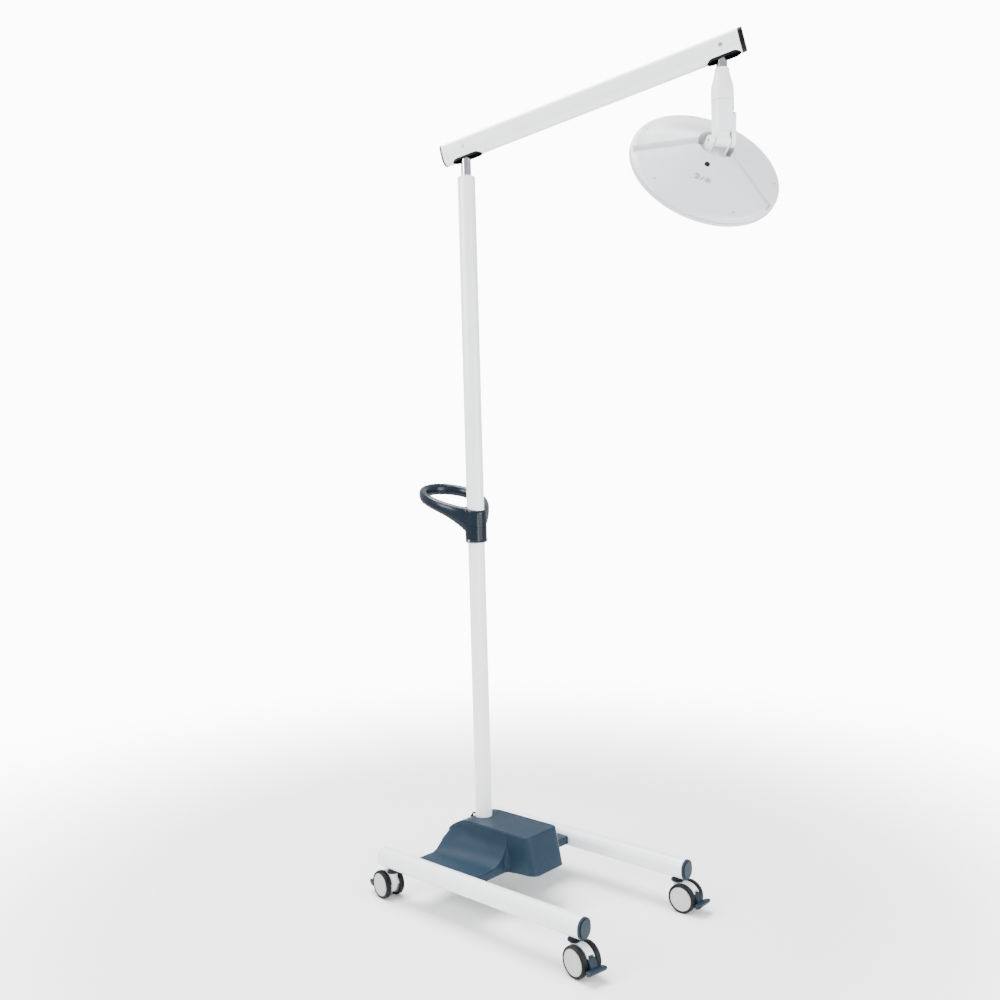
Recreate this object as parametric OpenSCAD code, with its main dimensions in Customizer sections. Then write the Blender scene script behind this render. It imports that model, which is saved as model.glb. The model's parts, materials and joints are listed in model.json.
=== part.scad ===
// Mobile examination lamp: castor base, two-piece mast, level-keeping arm and round LED head.
// Millimetres. X points along the legs to the front, Z up.
// The origin is on the floor, on the axis of the mast.

/* [Base] */
// Length of each leg over its end caps
leg_len = 610; // [560:5:680]
// Distance between the centre lines of the legs
leg_gap = 380; // [360:5:440]
// Distance that the legs reach behind the mast axis
leg_back = 153; // [140:1:180]
// Width of the leg tube
leg_w = 40; // [36:1:44]
// Height of the leg tube
leg_h = 46; // [44:1:52]
// Height of the leg's centre line above the floor
leg_z = 94; // [93:1:100]

/* [Castors] */
// Diameter of the castor wheels
wheel_d = 65; // [60:1:66]
// Width over the twin wheels
castor_w = 52; // [50:1:56]
// Distance from the castor's stem to its axle
castor_trail = 22; // [20:1:26]
// Distance from the end of the leg to the castor's stem
castor_inset = 31; // [28:1:40]

/* [Cover] */
// Width of the cover's centre box
cover_w = 110; // [100:1:120]
// Height of the cover's flat top
cover_top = 175; // [170:1:185]
// Reach of the cover's top in front of the mast
cover_front = 188; // [180:1:200]

/* [Mast] */
// Diameter of the lower mast tube
mast_low_d = 40; // [38:0.5:42]
// Diameter of the upper mast tube
mast_up_d = 42; // [41:0.5:44]
// Height of the joint between the two tubes
mast_joint_z = 886; // [870:1:900]
// Height of the mast's top
mast_top_z = 1718; // [1650:1:1800]
// Diameter of the chromed posts
post_d = 24; // [22:1:26]

/* [Arm] */
// Distance between the arm's two pivots
arm_len = 622; // [560:1:700]
// Height of the arm pivot above the mast
arm_rise = 69; // [66:1:80]
// Height of the arm tube
arm_h = 51; // [50:1:56]
// Width of the arm tube
arm_w = 36; // [36:1:42]
// Direction of the arm at rest, from the legs' direction
arm_turn = 21.9; // [-60:0.1:60]
// Slope of the arm at rest
arm_slope = 12.3; // [-20:0.1:30]

/* [Head] */
// Diameter of the lamp head
head_d = 351; // [330:1:370]
// Height of the head's back above its rim
dome_h = 65; // [60:1:70]
// Direction that the head's back faces at rest
head_turn = -31.9; // [-90:0.1:90]
// Tilt of the head at rest
head_tilt = 56.7; // [0:0.1:65]
// Length of the grip below the lens plate
grip_len = 82; // [60:1:90]

/* [Handle] */
// Reach of the push handle behind the mast axis
handle_reach = 212; // [180:1:225]
// Width over the push handle's loop
handle_w = 184; // [140:1:196]
// Upward slope of the push handle
handle_slope = 16.5; // [10:0.5:22]
// Turn of the push handle about the mast
handle_turn = -18; // [-60:1:60]

/* [Hidden] */
CASTORS = ["front_left", "front_right", "rear_left", "rear_right"];

$fn = 64;
navy = [0.16, 0.24, 0.33];
white = [0.93, 0.94, 0.95];
eps = 0.01;

leg_front = leg_len - leg_back;
leg_wall = 2;
leg_side = leg_gap / 2 - leg_w / 2;
leg_under = leg_z - leg_h / 2;
cap_t = 7;
rear_cap_t = 2.5;

wheel_r = wheel_d / 2;
disc_r = wheel_r - 4.9;
wheel_in = 11;
housing_half = 9.5;
axle_r = 4;
run = 0.05;
stem_r = 5;
pedal_pin_r = 2;
pedal_pivot = [24, 8];
// Rest directions of the four castors, in the order of CASTORS
castor_dirs = [2, -10, 185, 172];

beam_x0 = -32;
beam_x1 = 32;
beam_z0 = 76;
beam_h = 20;
plate_z = beam_z0 + beam_h;
plate_t = 3;

wing_x0 = -64;
wing_x1 = 124;
wing_y = leg_side - 0.3;
wing_top = 103;
wing_r = 60;
cover_bottom = 84;
cover_front_bottom = 90;
cover_back = -73;
// The cover's top rolls down behind roll_x on this radius
roll_x = 10;
roll_r = 118;
cover_t = 3;
front_draft = 20;
inlet_z = 114.5;

mast_wall = 2;
post_r = post_d / 2;
arm_pivot_z = mast_top_z + arm_rise;
level_offset = 13;
pin_r = 5;
tongue_half = 9;
post_neck = 24;
arm_over_back = 55;
arm_over_front = 46;
arm_wall = 2.5;
slot_half_w = 14.2;
slot_half_l = 38;

bell_top = -46;
bell_bottom = -117;
bell_r = 24.5;
tilt_drop = -202;
cheek_rise = 52;
head_offset = -13;
head_r = head_d / 2;
dome_top = -9;
rim_z = dome_top - dome_h;
recess_r = 41;
recess_depth = 32;
dome_edge_r = head_r - 13;
dome_edge_h = 12;
dome_slope = atan((dome_h - dome_edge_h) / (dome_edge_r - recess_r));
groove_w = 22;
groove_depth = 5;
wire_bore_r = 8;
// Angles of the three grooves and of the six rim screws, from the downhill direction
groove_angles = [-103.2, 40.8, 148.8];
screw_angles = [-67.2, 4.8, 68.8, 120.8, 176.8, 228.8];
screw_ring_r = head_r - 15.5;
button_angle = -32;
button_ring_r = 65;

handle_top = 924;
clamp_z0 = 840;
clamp_r = 26.5;
handle_screw_angle = 110;
clamp_screw_r = 3.2;

// ---------- placing ----------

// Runs a profile along X: its x becomes Y and its y becomes Z
module along_x(x0, x1) {
    translate([x0, 0, 0]) rotate([90, 0, 90]) linear_extrude(x1 - x0) children();
}

// Runs a profile along Y: its x stays X and its y becomes Z
module along_y(y0, y1) {
    translate([0, y1, 0]) rotate([90, 0, 0]) linear_extrude(y1 - y0) children();
}

module at_arm() {
    translate([0, 0, arm_pivot_z]) rotate([0, 0, arm_turn]) rotate([0, -arm_slope, 0]) children();
}

module at_post_top() {
    translate([0, 0, arm_pivot_z]) rotate([0, 0, arm_turn]) children();
}

// The arm's outer pivot, upright, with X along the arm's direction
module at_drop() {
    reach = arm_len * cos(arm_slope);
    lift = arm_len * sin(arm_slope);
    at_post_top() translate([reach, 0, lift]) children();
}

// The lamp's vertical swivel axis, with X along the head's downhill direction
module at_swivel() {
    at_drop() rotate([0, 0, head_turn - arm_turn]) children();
}

module at_head() {
    at_swivel() translate([0, 0, tilt_drop]) rotate([0, head_tilt, 0]) children();
}

// The middle of the round head, with Z along its axis
module at_disc() {
    at_head() translate([0, head_offset, 0]) children();
}

// A place on the head's sloping back, with Z square to the surface
module on_dome(ring_r, angle) {
    z = dome_top - (ring_r - recess_r) * tan(dome_slope);
    rotate([0, 0, angle]) translate([ring_r, 0, z]) rotate([0, dome_slope, 0]) children();
}

module at_castor(i) {
    front = i < 2;
    left = i % 2 == 0;
    x = front ? leg_front - castor_inset : -leg_back + castor_inset;
    translate([x, (left ? 1 : -1) * leg_gap / 2, 0]) rotate([0, 0, castor_dirs[i]]) children();
}

// ---------- base ----------

module leg_profile(inset = 0) {
    r = leg_w / 2 - inset;
    for (s = [-1, 1]) translate([0, s * (leg_h - leg_w) / 2]) circle(r = r);
    square([2 * r, leg_h - leg_w], center = true);
}

module leg_tube(side) {
    color(white) difference() {
        translate([0, side * leg_gap / 2, leg_z]) difference() {
            along_x(-leg_back + rear_cap_t, leg_front - cap_t) leg_profile();
            along_x(-leg_back, leg_front) leg_profile(leg_wall);
        }
        for (x = [leg_front - castor_inset, -leg_back + castor_inset])
            translate([x, side * leg_gap / 2, leg_under - 1]) cylinder(r = stem_r + 0.2, h = 8);
    }
}

module front_leg_caps() {
    color(navy) for (s = [-1, 1]) translate([0, s * leg_gap / 2, leg_z]) {
        along_x(leg_front - cap_t - 14, leg_front - cap_t) leg_profile(leg_wall + 0.15);
        along_x(leg_front - cap_t, leg_front - 2.5) leg_profile();
        along_x(leg_front - 2.5, leg_front) leg_profile(3.5);
    }
}

module rear_leg_caps() {
    color([0.75, 0.77, 0.79]) for (s = [-1, 1]) translate([0, s * leg_gap / 2, leg_z]) {
        along_x(-leg_back + rear_cap_t, -leg_back + 16) leg_profile(leg_wall + 0.15);
        along_x(-leg_back, -leg_back + rear_cap_t) leg_profile(0.4);
    }
}

module cross_beam() {
    wall = 2.5;
    color("gray") difference() {
        translate([beam_x0, -leg_side + 0.3, beam_z0])
            cube([beam_x1 - beam_x0, 2 * leg_side - 0.6, beam_h]);
        translate([beam_x0 + wall, -leg_side, beam_z0 + wall])
            cube([beam_x1 - beam_x0 - 2 * wall, 2 * leg_side, beam_h - 2 * wall]);
    }
}

module mast_socket() {
    r = mast_low_d / 2;
    color("gray") translate([0, 0, plate_z + plate_t]) difference() {
        union() {
            cylinder(r = r + 9, h = 4);
            cylinder(r = r + 3.5, h = 52);
        }
        translate([0, 0, -1]) cylinder(r = r, h = 60);
    }
}

// Clearance bores of the four screws that hold the pan, plate and weight together
module pan_screw_holes() {
    for (x = [52, 162], y = [-34, 34]) translate([x, y, 90]) cylinder(r = 2.1, h = 25);
}

module chassis_plate() {
    color("gray") difference() {
        translate([cover_back + 8, -46, plate_z]) cube([cover_front - cover_back - 14, 92, plate_t]);
        pan_screw_holes();
    }
}

module counterweight() {
    color([0.25, 0.25, 0.27]) difference() {
        translate([38, -44, plate_z + plate_t]) cube([138, 88, 38]);
        pan_screw_holes();
    }
}

module power_supply() {
    z = plate_z + plate_t + 38;
    color("silver") difference() {
        translate([48, -38, z]) cube([116, 76, 30]);
        for (x = [60 : 8 : 150]) translate([x, -39, z + 8]) cube([3, 78, 12]);
    }
}

// The cover's centre box, moved in by t all round; drop carries its underside down
module cover_block(t = 0, drop = 0) {
    w = cover_w / 2 - t;
    corner = 16 - t;
    edge = 9 - t;
    top = cover_top - t;
    front = cover_front - t;
    back = cover_back + t;
    intersection() {
        along_y(-cover_w, cover_w) roll_profile(t);
        hull() for (s = [-1, 1]) {
            translate([front - corner - 3, s * (w - corner), top - 4])
                cylinder(r = corner, h = eps, $fn = 32);
            translate([front - corner - 3, s * (w - corner), top - eps])
                cylinder(r = corner - 3, h = eps, $fn = 32);
            translate([front - corner + front_draft, s * (w - corner), cover_front_bottom - drop])
                cylinder(r = corner, h = eps, $fn = 32);
            translate([wing_x1 - edge, s * (w - edge), cover_bottom - drop])
                cylinder(r = edge, h = eps, $fn = 32);
            translate([back + edge, s * (w - edge), cover_bottom - drop])
                cylinder(r = edge, h = top - cover_bottom + drop - 4, $fn = 32);
            translate([back + edge, s * (w - edge), top - eps])
                cylinder(r = edge - 3, h = eps, $fn = 32);
        }
    }
}

// Outline of the cover's top in X and Z: flat, then rolling down behind the mast
module roll_profile(t = 0) {
    translate([roll_x, cover_top - roll_r]) circle(r = roll_r - t, $fn = 180);
    translate([roll_x, 0]) square([cover_front + front_draft, cover_top - t]);
}

// Cross-section of one swept skirt, in Y and Z
module wing_profile(t = 0) {
    z0 = cover_bottom - (t > 0 ? 5 : 0);
    cy = cover_w / 2 + wing_r;
    cz = wing_top + wing_r;
    translate([40, z0]) square([wing_y - t - 40, wing_top - t - z0]);
    difference() {
        translate([40, z0]) square([cy - 40, cz - z0]);
        translate([cy, cz]) circle(r = wing_r + t, $fn = 96);
    }
}

// Both skirts, moved in by t, out to a half-width of reach
module cover_wings(t, reach) {
    intersection() {
        along_x(wing_x0 + t, wing_x1 - t) for (m = [0, 1]) mirror([m, 0]) intersection() {
            wing_profile(t);
            square([reach, wing_top + wing_r - t]);
        }
        along_y(-leg_side, leg_side) roll_profile(t);
    }
}

module base_cover() {
    color(navy) difference() {
        union() {
            cover_block();
            cover_wings(0, wing_y);
        }
        cover_block(cover_t, 5);
        cover_wings(cover_t, wing_y - cover_t);
        cylinder(r = mast_low_d / 2 + 0.4, h = cover_top + 1);
        translate([cover_back - 1, -24.3, inlet_z - 14.3]) cube([8, 48.6, 28.6]);
        translate([lead_x, 0, 140]) cylinder(r = 4.1, h = 40);
        translate([beam_x0 - 0.3, -leg_side, cover_bottom - 1])
            cube([beam_x1 - beam_x0 + 0.6, 2 * leg_side, beam_h + 1.3]);
    }
}

module bottom_pan() {
    color([0.2, 0.2, 0.22]) difference() {
        translate([36, -50, plate_z - 2]) cube([146, 100, 2]);
        pan_screw_holes();
    }
}

// Four screws through the pan and two on the handle's clamp
module fixing_screws() {
    color("silver") {
        for (x = [52, 162], y = [-34, 34]) translate([x, y, 0]) {
            translate([0, 0, plate_z - 4]) cylinder(r = 4, h = 2);
            translate([0, 0, plate_z - 2]) cylinder(r = 2, h = 18);
        }
        at_clamp_screws() cylinder(r = clamp_screw_r, h = 2.7);
    }
}

module at_clamp_screws() {
    for (s = [-1, 1]) rotate([0, 0, handle_turn + 180 + s * handle_screw_angle])
        translate([clamp_r - 1.5, 0, clamp_z0 + 6]) rotate([0, 90, 0]) children();
}

module mains_inlet() {
    color([0.12, 0.12, 0.13]) translate([cover_back, 0, inlet_z]) difference() {
        union() {
            translate([-2, -27, -16]) cube([2, 54, 32]);
            translate([0, -24, -14]) cube([22, 48, 28]);
        }
        translate([-3, -12, -8]) cube([18, 24, 16]);
        for (s = [-1, 1]) translate([-3, s * 20, 0]) rotate([0, 90, 0]) cylinder(r = 1.7, h = 6);
    }
}

module inlet_pins() {
    color("gold") translate([cover_back + 1, 0, inlet_z]) for (p = [[-7, -1], [0, 3], [7, -1]])
        translate([0, p[0] - 1, p[1] - 2]) cube([14, 2, 4]);
}

// Route of the short lead between the mast and the cover
lead_route = [
    [-18, 0, 175], [-25.5, 0, 175], [-31.5, 0, 174.2], [-36.5, 0, 172],
    [-39.8, 0, 169], [-40.9, 0, 165.5], [-41, 0, 160], [-41, 0, 153]
];
lead_r = 2.2;
lead_x = -41;
lead_sides = 8;

function unit(v) = v / norm(v);
function tangent(path, i) = unit(path[min(i + 1, len(path) - 1)] - path[max(i - 1, 0)]);
function ring(path, i) = let(t = tangent(path, i), u = [0, 1, 0], v = cross(t, u))
    [for (k = [0 : lead_sides - 1]) let(turn = 360 * k / lead_sides)
        path[i] + lead_r * (cos(turn) * u + sin(turn) * v)];

module foot_lead() {
    n = len(lead_route);
    points = [for (i = [0 : n - 1]) each ring(lead_route, i)];
    sides = [for (i = [0 : n - 2], k = [0 : lead_sides - 1]) let(
        a = i * lead_sides + k,
        b = i * lead_sides + (k + 1) % lead_sides
    ) [a, b, b + lead_sides, a + lead_sides]];
    ends = [
        [for (k = [lead_sides - 1 : -1 : 0]) k],
        [for (k = [0 : lead_sides - 1]) (n - 1) * lead_sides + k]
    ];
    color([0.1, 0.1, 0.12]) polyhedron(points, concat(sides, ends), convexity = 4);
}

module lead_glands() {
    color([0.1, 0.1, 0.12]) {
        difference() {
            translate([-22.8, 0, 175]) rotate([0, 90, 0]) cylinder(r = 3.6, h = 4.8);
            translate([-24, 0, 175]) rotate([0, 90, 0]) cylinder(r = 2.6, h = 8);
            cylinder(r = mast_low_d / 2, h = 300);
        }
        translate([lead_x, 0, 148]) difference() {
            cylinder(r = 4, h = 17.6);
            translate([0, 0, -1]) cylinder(r = 3, h = 22);
        }
    }
}

// ---------- mast ----------

module mast_tube(r, z0, z1) {
    color(white) difference() {
        translate([0, 0, z0]) cylinder(r = r, h = z1 - z0);
        translate([0, 0, z0 - 1]) cylinder(r = r - mast_wall, h = z1 - z0 + 2);
    }
}

module mast_lower() {
    difference() {
        mast_tube(mast_low_d / 2, plate_z + plate_t, mast_joint_z);
        color(white) translate([-30, 0, 175]) rotate([0, 90, 0]) cylinder(r = 2.6, h = 30);
    }
}

module mast_upper() {
    mast_tube(mast_up_d / 2, mast_joint_z, mast_top_z - 3);
}

module mast_spigot() {
    color("silver") difference() {
        union() {
            translate([0, 0, mast_joint_z - 60]) cylinder(r = mast_low_d / 2 - mast_wall, h = 60);
            translate([0, 0, mast_joint_z]) cylinder(r = mast_up_d / 2 - mast_wall, h = 60);
        }
        translate([0, 0, mast_joint_z - 61]) cylinder(r = 13, h = 122);
    }
}

module mast_bush() {
    r = mast_up_d / 2;
    color(white) translate([0, 0, mast_top_z]) difference() {
        union() {
            rotate_extrude() polygon([[0, -3], [r, -3], [r, -1.8], [r - 1.8, 0], [0, 0]]);
            translate([0, 0, -70]) cylinder(r = r - mast_wall, h = 68);
        }
        translate([0, 0, -71]) cylinder(r = post_r + run, h = 80);
    }
}

// ---------- push handle ----------

loop_steps = 48;
rail_half = 10;
rail_height = 28;
root_depth = 46;
root_length = 25;
taper = 0.34;
clamp_lip = 0.8;
loop_a = (handle_reach - rail_half) / 2;
loop_b = handle_w / 2 - rail_half;
handle_mid = handle_top - rail_height / 2;

// Middle of the loop's rail, seen from above: an egg that narrows towards the mast
function narrow(t) = 1 - taper * pow((1 + cos(t)) / 2, 1.3);
function loop_point(t) = [loop_a * (cos(t) - 1), loop_b * narrow(t) * sin(t)];
function loop_side(t) = let(step = loop_point(t + 1) - loop_point(t - 1)) unit([step[1], -step[0]]);
function rise(x) = handle_mid - x * tan(handle_slope);
// Depth of the lower shell, which grows towards the mast
function depth(x) = rail_height / 2 + root_depth * exp(min(0, x) / root_length);

// Half a rail's cross-section, as offsets outwards and upwards
function half_section(h) = [
    [-rail_half, 0], [rail_half, 0], [rail_half, h * 0.62], [rail_half * 0.72, h * 0.9],
    [rail_half * 0.3, h], [-rail_half * 0.3, h], [-rail_half * 0.72, h * 0.9], [-rail_half, h * 0.62]
];
function rail_place(c, n, q) = let(at = c + q[0] * n) [at[0], at[1], rise(at[0]) + q[1]];

module half_loop(lower) {
    m = 8;
    points = [for (i = [0 : loop_steps - 1]) let(
        t = 360 * i / loop_steps,
        c = loop_point(t),
        h = lower ? -depth(c[0]) : rail_height / 2
    ) each [for (q = half_section(h)) rail_place(c, loop_side(t), q)]];
    faces = [for (i = [0 : loop_steps - 1], k = [0 : m - 1]) let(
        j = (i + 1) % loop_steps,
        l = (k + 1) % m,
        a = i * m + k,
        b = i * m + l,
        c = j * m + l,
        d = j * m + k
    ) each (lower ? [[a, c, b], [a, d, c]] : [[a, b, c], [a, c, d]])];
    polyhedron(points, faces, convexity = 8);
}

// All that lies above a plane that slopes with the loop
module above_slope(z) {
    translate([0, 0, z]) rotate([0, handle_slope, 0]) translate([-60, -60, 0]) cube([120, 120, 160]);
}

module clamp_cylinder() {
    translate([0, 0, clamp_z0]) cylinder(r = clamp_r, h = 110);
}

module mast_bore() {
    translate([0, 0, clamp_z0 - 1]) cylinder(r = mast_low_d / 2, h = mast_joint_z - clamp_z0 + 1);
    translate([0, 0, mast_joint_z]) cylinder(r = mast_up_d / 2, h = 200);
}

module handle_upper_shell() {
    color(navy) difference() {
        rotate([0, 0, handle_turn]) union() {
            half_loop(false);
            difference() {
                intersection() {
                    clamp_cylinder();
                    above_slope(handle_mid);
                }
                above_slope(handle_top + clamp_lip);
            }
        }
        mast_bore();
    }
}

module handle_lower_shell() {
    color(navy) difference() {
        rotate([0, 0, handle_turn]) union() {
            half_loop(true);
            difference() {
                clamp_cylinder();
                above_slope(handle_mid);
            }
        }
        mast_bore();
        at_clamp_screws() cylinder(r = clamp_screw_r + 0.1, h = 6);
    }
}

// ---------- castors ----------

module castor_stems() {
    color([0.15, 0.17, 0.2]) for (i = [0 : 3]) at_castor(i) {
        translate([0, 0, 50]) cylinder(r = stem_r, h = leg_under - 50 + 12);
        translate([0, 0, 66]) cylinder(r = 14, h = leg_under - 66 - 0.3);
    }
}

// Cylinder across the castor, at a place given from the wheel's centre
module across(p, r, half) {
    translate([castor_trail + p[0], half, wheel_r + p[1]]) rotate([90, 0, 0]) cylinder(r = r, h = 2 * half);
}

module castor_housing(i) {
    color([0.82, 0.84, 0.86]) at_castor(i) difference() {
        union() {
            across([0, 0], 24, housing_half);
            intersection() {
                across([0, 0], wheel_r - 1.2, housing_half);
                translate([castor_trail - 40, -20, wheel_r + 4]) cube([80, 40, 40]);
            }
            translate([0, 0, 42]) cylinder(r = housing_half, h = 23.6);
        }
        translate([0, 0, 48]) cylinder(r = stem_r + run, h = 30);
        across([0, 0], axle_r + run, 20);
        difference() {
            translate([castor_trail + 14, -7.5, 2]) cube([40, 15, wheel_r + 16]);
            across(pedal_pivot, pedal_pin_r, 20);
        }
    }
}

module castor_tyres(i) {
    color([0.1, 0.1, 0.11]) at_castor(i) for (s = [0, 1]) mirror([0, s, 0])
        translate([castor_trail, 0, wheel_r]) rotate([-90, 0, 0]) rotate_extrude($fn = 96) polygon([
            [disc_r, wheel_in + 0.5], [wheel_r - 2.5, wheel_in + 0.5], [wheel_r - 0.6, wheel_in + 2],
            [wheel_r, wheel_in + 4.5], [wheel_r, castor_w / 2 - 3.5], [wheel_r - 0.8, castor_w / 2 - 1.2],
            [wheel_r - 2.4, castor_w / 2], [disc_r, castor_w / 2 - 0.4]
        ]);
}

module castor_discs(i) {
    color([0.8, 0.82, 0.84]) at_castor(i) {
        across([0, 0], axle_r, castor_w / 2 - 4);
        for (s = [0, 1]) mirror([0, s, 0])
            translate([castor_trail, 0, wheel_r]) rotate([-90, 0, 0]) rotate_extrude($fn = 96) polygon([
                [0, castor_w / 2 - 5], [0, castor_w / 2 - 1.2], [disc_r - 1.5, castor_w / 2 - 1.2],
                [disc_r, castor_w / 2 - 1.7], [disc_r, wheel_in + 1.5], [disc_r - 3, wheel_in + 1.5],
                [disc_r - 3, castor_w / 2 - 5], [9, castor_w / 2 - 5], [9, wheel_in - 0.8],
                [axle_r - 1, wheel_in - 0.8], [axle_r - 1, castor_w / 2 - 5]
            ]);
    }
}

module castor_pedal(i) {
    px = castor_trail + pedal_pivot[0];
    pz = wheel_r + pedal_pivot[1];
    color(navy) at_castor(i) difference() {
        union() {
            across(pedal_pivot, 4.5, 7.2);
            along_y(-7.2, 7.2) polygon([
                [px - 3.4, pz + 3], [px + 4, pz + 2], [px + 14, pz - 12], [px + 14, pz - 20],
                [px + 4, pz - 24], [px + 1, pz - 18]
            ]);
            along_y(-22, 22) polygon([
                [px + 13, pz - 14], [px + 17, pz - 13], [px + 26, pz - 10.5], [px + 27.5, pz - 11.5],
                [px + 26.5, pz - 14], [px + 18, pz - 20], [px + 14, pz - 21.5]
            ]);
            for (s = [-1, 1]) along_y(s * 4 - 2.2, s * 4 + 2.2)
                polygon([[px + 3, pz - 22], [px + 12, pz - 20], [px + 11, pz - 28], [px + 5, pz - 28]]);
        }
        across(pedal_pivot, pedal_pin_r + run, 20);
    }
}

// ---------- arm ----------

module arm_profile(inset = 0) {
    r = 14 - inset;
    w = arm_w / 2 - inset;
    h = arm_h / 2 - inset;
    for (a = [-1, 1], b = [-1, 1]) translate([a * (w - r), b * (h - r)]) circle(r = r);
    square([2 * w, 2 * (h - r)], center = true);
    square([2 * (w - r), 2 * h], center = true);
}

module slot_shape(grow = 0) {
    r = slot_half_w + grow;
    l = slot_half_l + grow - r;
    for (s = [-1, 1]) translate([s * l, 0]) circle(r = r);
    square([2 * l, 2 * r], center = true);
}

module arm_tube() {
    color(white) at_arm() difference() {
        along_x(-arm_over_back, arm_len + arm_over_front) arm_profile();
        along_x(-arm_over_back - 1, arm_len + arm_over_front + 1) arm_profile(arm_wall);
        for (x = [0, arm_len]) {
            translate([x, 0, -arm_h / 2 - 1]) linear_extrude(9.5) slot_shape();
            translate([x, 20, 0]) rotate([90, 0, 0]) cylinder(r = pin_r, h = 40);
        }
        for (s = [-1, 1]) along_x(-arm_over_back - 1, arm_len + arm_over_front + 1)
            translate([s * arm_w / 2, -9]) square([1, 0.9], center = true);
    }
}

module arm_end_caps() {
    color([0.08, 0.08, 0.09]) at_arm() for (e = [[-arm_over_back, -1], [arm_len + arm_over_front, 1]])
        translate([e[0], 0, 0]) mirror([e[1] < 0 ? 1 : 0, 0, 0]) {
            along_x(0, 3) arm_profile();
            along_x(3, 4.5) arm_profile(1.5);
            along_x(-4, 0) arm_profile(arm_wall + 0.2);
        }
}

module arm_slot_liners() {
    color([0.08, 0.08, 0.09]) at_arm() for (x = [0, arm_len]) translate([x, 0, -arm_h / 2 - 0.4])
        linear_extrude(3.4) difference() {
            slot_shape(-0.1);
            slot_shape(-1.3);
        }
}

module pivot_pins() {
    color("silver") at_arm() for (x = [0, arm_len])
        translate([x, arm_w / 2 - 0.4, 0]) rotate([90, 0, 0]) cylinder(r = pin_r, h = arm_w - 0.8);
}

module friction_washers() {
    half = arm_w / 2 - arm_wall;
    color([0.35, 0.33, 0.3]) at_arm() for (x = [0, arm_len], s = [0, 1]) mirror([0, s, 0])
        translate([x, half, 0]) rotate([90, 0, 0]) difference() {
            cylinder(r = 6.5, h = half - tongue_half - 0.1);
            translate([0, 0, -1]) cylinder(r = pin_r, h = 20);
        }
}

// Flattened top of a post: bores for the pivot pin, and a stub for the levelling rod
module post_tongue() {
    difference() {
        union() {
            intersection() {
                union() {
                    translate([0, tongue_half, 0]) rotate([90, 0, 0])
                        cylinder(r = post_r - 0.5, h = 2 * tongue_half);
                    translate([-post_r - 2, -tongue_half, -24]) cube([post_d + 4, 2 * tongue_half, 24]);
                    translate([-post_r - 2, -post_r - 2, -26]) cube([post_d + 4, post_d + 4, 4]);
                }
                translate([0, 0, -post_neck]) cylinder(r = post_r, h = 60);
            }
            translate([0, tongue_half, level_offset]) rotate([90, 0, 0])
                cylinder(r = 5, h = 2 * tongue_half);
            translate([-5, -tongue_half, 0]) cube([10, 2 * tongue_half, level_offset]);
        }
        translate([0, 20, 0]) rotate([90, 0, 0]) cylinder(r = pin_r + run, h = 40);
    }
    translate([0, tongue_half + 3.4, level_offset]) rotate([90, 0, 0]) cylinder(r = 2.5, h = 8);
}

module arm_post() {
    color("lightgray") {
        at_post_top() translate([0, 0, -arm_rise - 68]) cylinder(r = post_r, h = arm_rise + 68 - post_neck);
        at_post_top() post_tongue();
    }
}

module level_rod() {
    eye = 5;
    color("gray") at_post_top() translate([0, tongue_half + 0.3, level_offset])
    rotate([0, -arm_slope, 0]) difference() {
        union() {
            for (x = [0, arm_len]) translate([x, 3, 0]) rotate([90, 0, 0]) cylinder(r = eye, h = 3);
            translate([0, 0, -2.5]) cube([arm_len, 3, 5]);
        }
        translate([0, 10, 0]) rotate([90, 0, 0]) cylinder(r = 2.5 + run, h = 20);
        translate([arm_len, 10, 0]) rotate([90, 0, 0]) cylinder(r = 3.2, h = 20);
    }
}

// ---------- lamp suspension ----------

module drop_rod() {
    color("lightgray") at_drop() {
        translate([0, 0, bell_bottom + 17]) cylinder(r = post_r, h = -bell_bottom - 17 - post_neck);
        post_tongue();
    }
}

module bell_collar() {
    color(white) at_drop() rotate_extrude($fn = 96) polygon([
        [post_r, bell_top], [15.2, bell_top], [15.8, bell_top - 1], [16.6, bell_top - 14],
        [17.8, bell_top - 22], [20, bell_top - 31], [22.6, bell_top - 39], [24, bell_top - 44],
        [bell_r, bell_top - 50], [bell_r, bell_bottom], [10 + run, bell_bottom],
        [10 + run, bell_bottom + 17], [post_r, bell_bottom + 17]
    ]);
}

module swivel_body() {
    top = bell_bottom - 0.9;
    color(white) at_swivel() difference() {
        union() {
            translate([0, 0, tilt_drop + 17]) cylinder(r = bell_r, h = top - tilt_drop - 17);
            translate([0, 0, top - 1]) cylinder(r = 10, h = 17);
            intersection() {
                translate([0, 0, tilt_drop - 20]) cylinder(r = bell_r, h = 60);
                union() {
                    translate([0, 8, tilt_drop]) rotate([90, 0, 0]) cylinder(r = 13, h = 40);
                    translate([-13, -32, tilt_drop]) cube([26, 40, 30]);
                }
            }
        }
        translate([-40, 12, tilt_drop - 20]) cube([80, 40, 86]);
        translate([0, 60, tilt_drop]) rotate([90, 0, 0]) cylinder(r = 4 + run, h = 120);
    }
}

module yoke_cheek() {
    z_top = tilt_drop + cheek_rise;
    color(white) at_swivel() difference() {
        intersection() {
            union() {
                translate([0, 26, tilt_drop]) rotate([90, 0, 0]) cylinder(r = 13, h = 14);
                translate([-13, 12, tilt_drop]) cube([26, 14, cheek_rise]);
                translate([0, 26, z_top]) rotate([90, 0, 0]) cylinder(r = 13, h = 14);
            }
            translate([0, 0, tilt_drop - 20]) cylinder(r1 = 26, r2 = 30, h = 100);
        }
        translate([-20, 0, tilt_drop - 20]) cube([40, 14.5, 38]);
        translate([0, 60, tilt_drop]) rotate([90, 0, 0]) cylinder(r = 4 + run, h = 120);
    }
}

module tilt_pin() {
    color("silver") at_head() translate([0, 23, 0]) rotate([90, 0, 0]) cylinder(r = 4, h = 59);
}

// ---------- lamp head ----------

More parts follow.
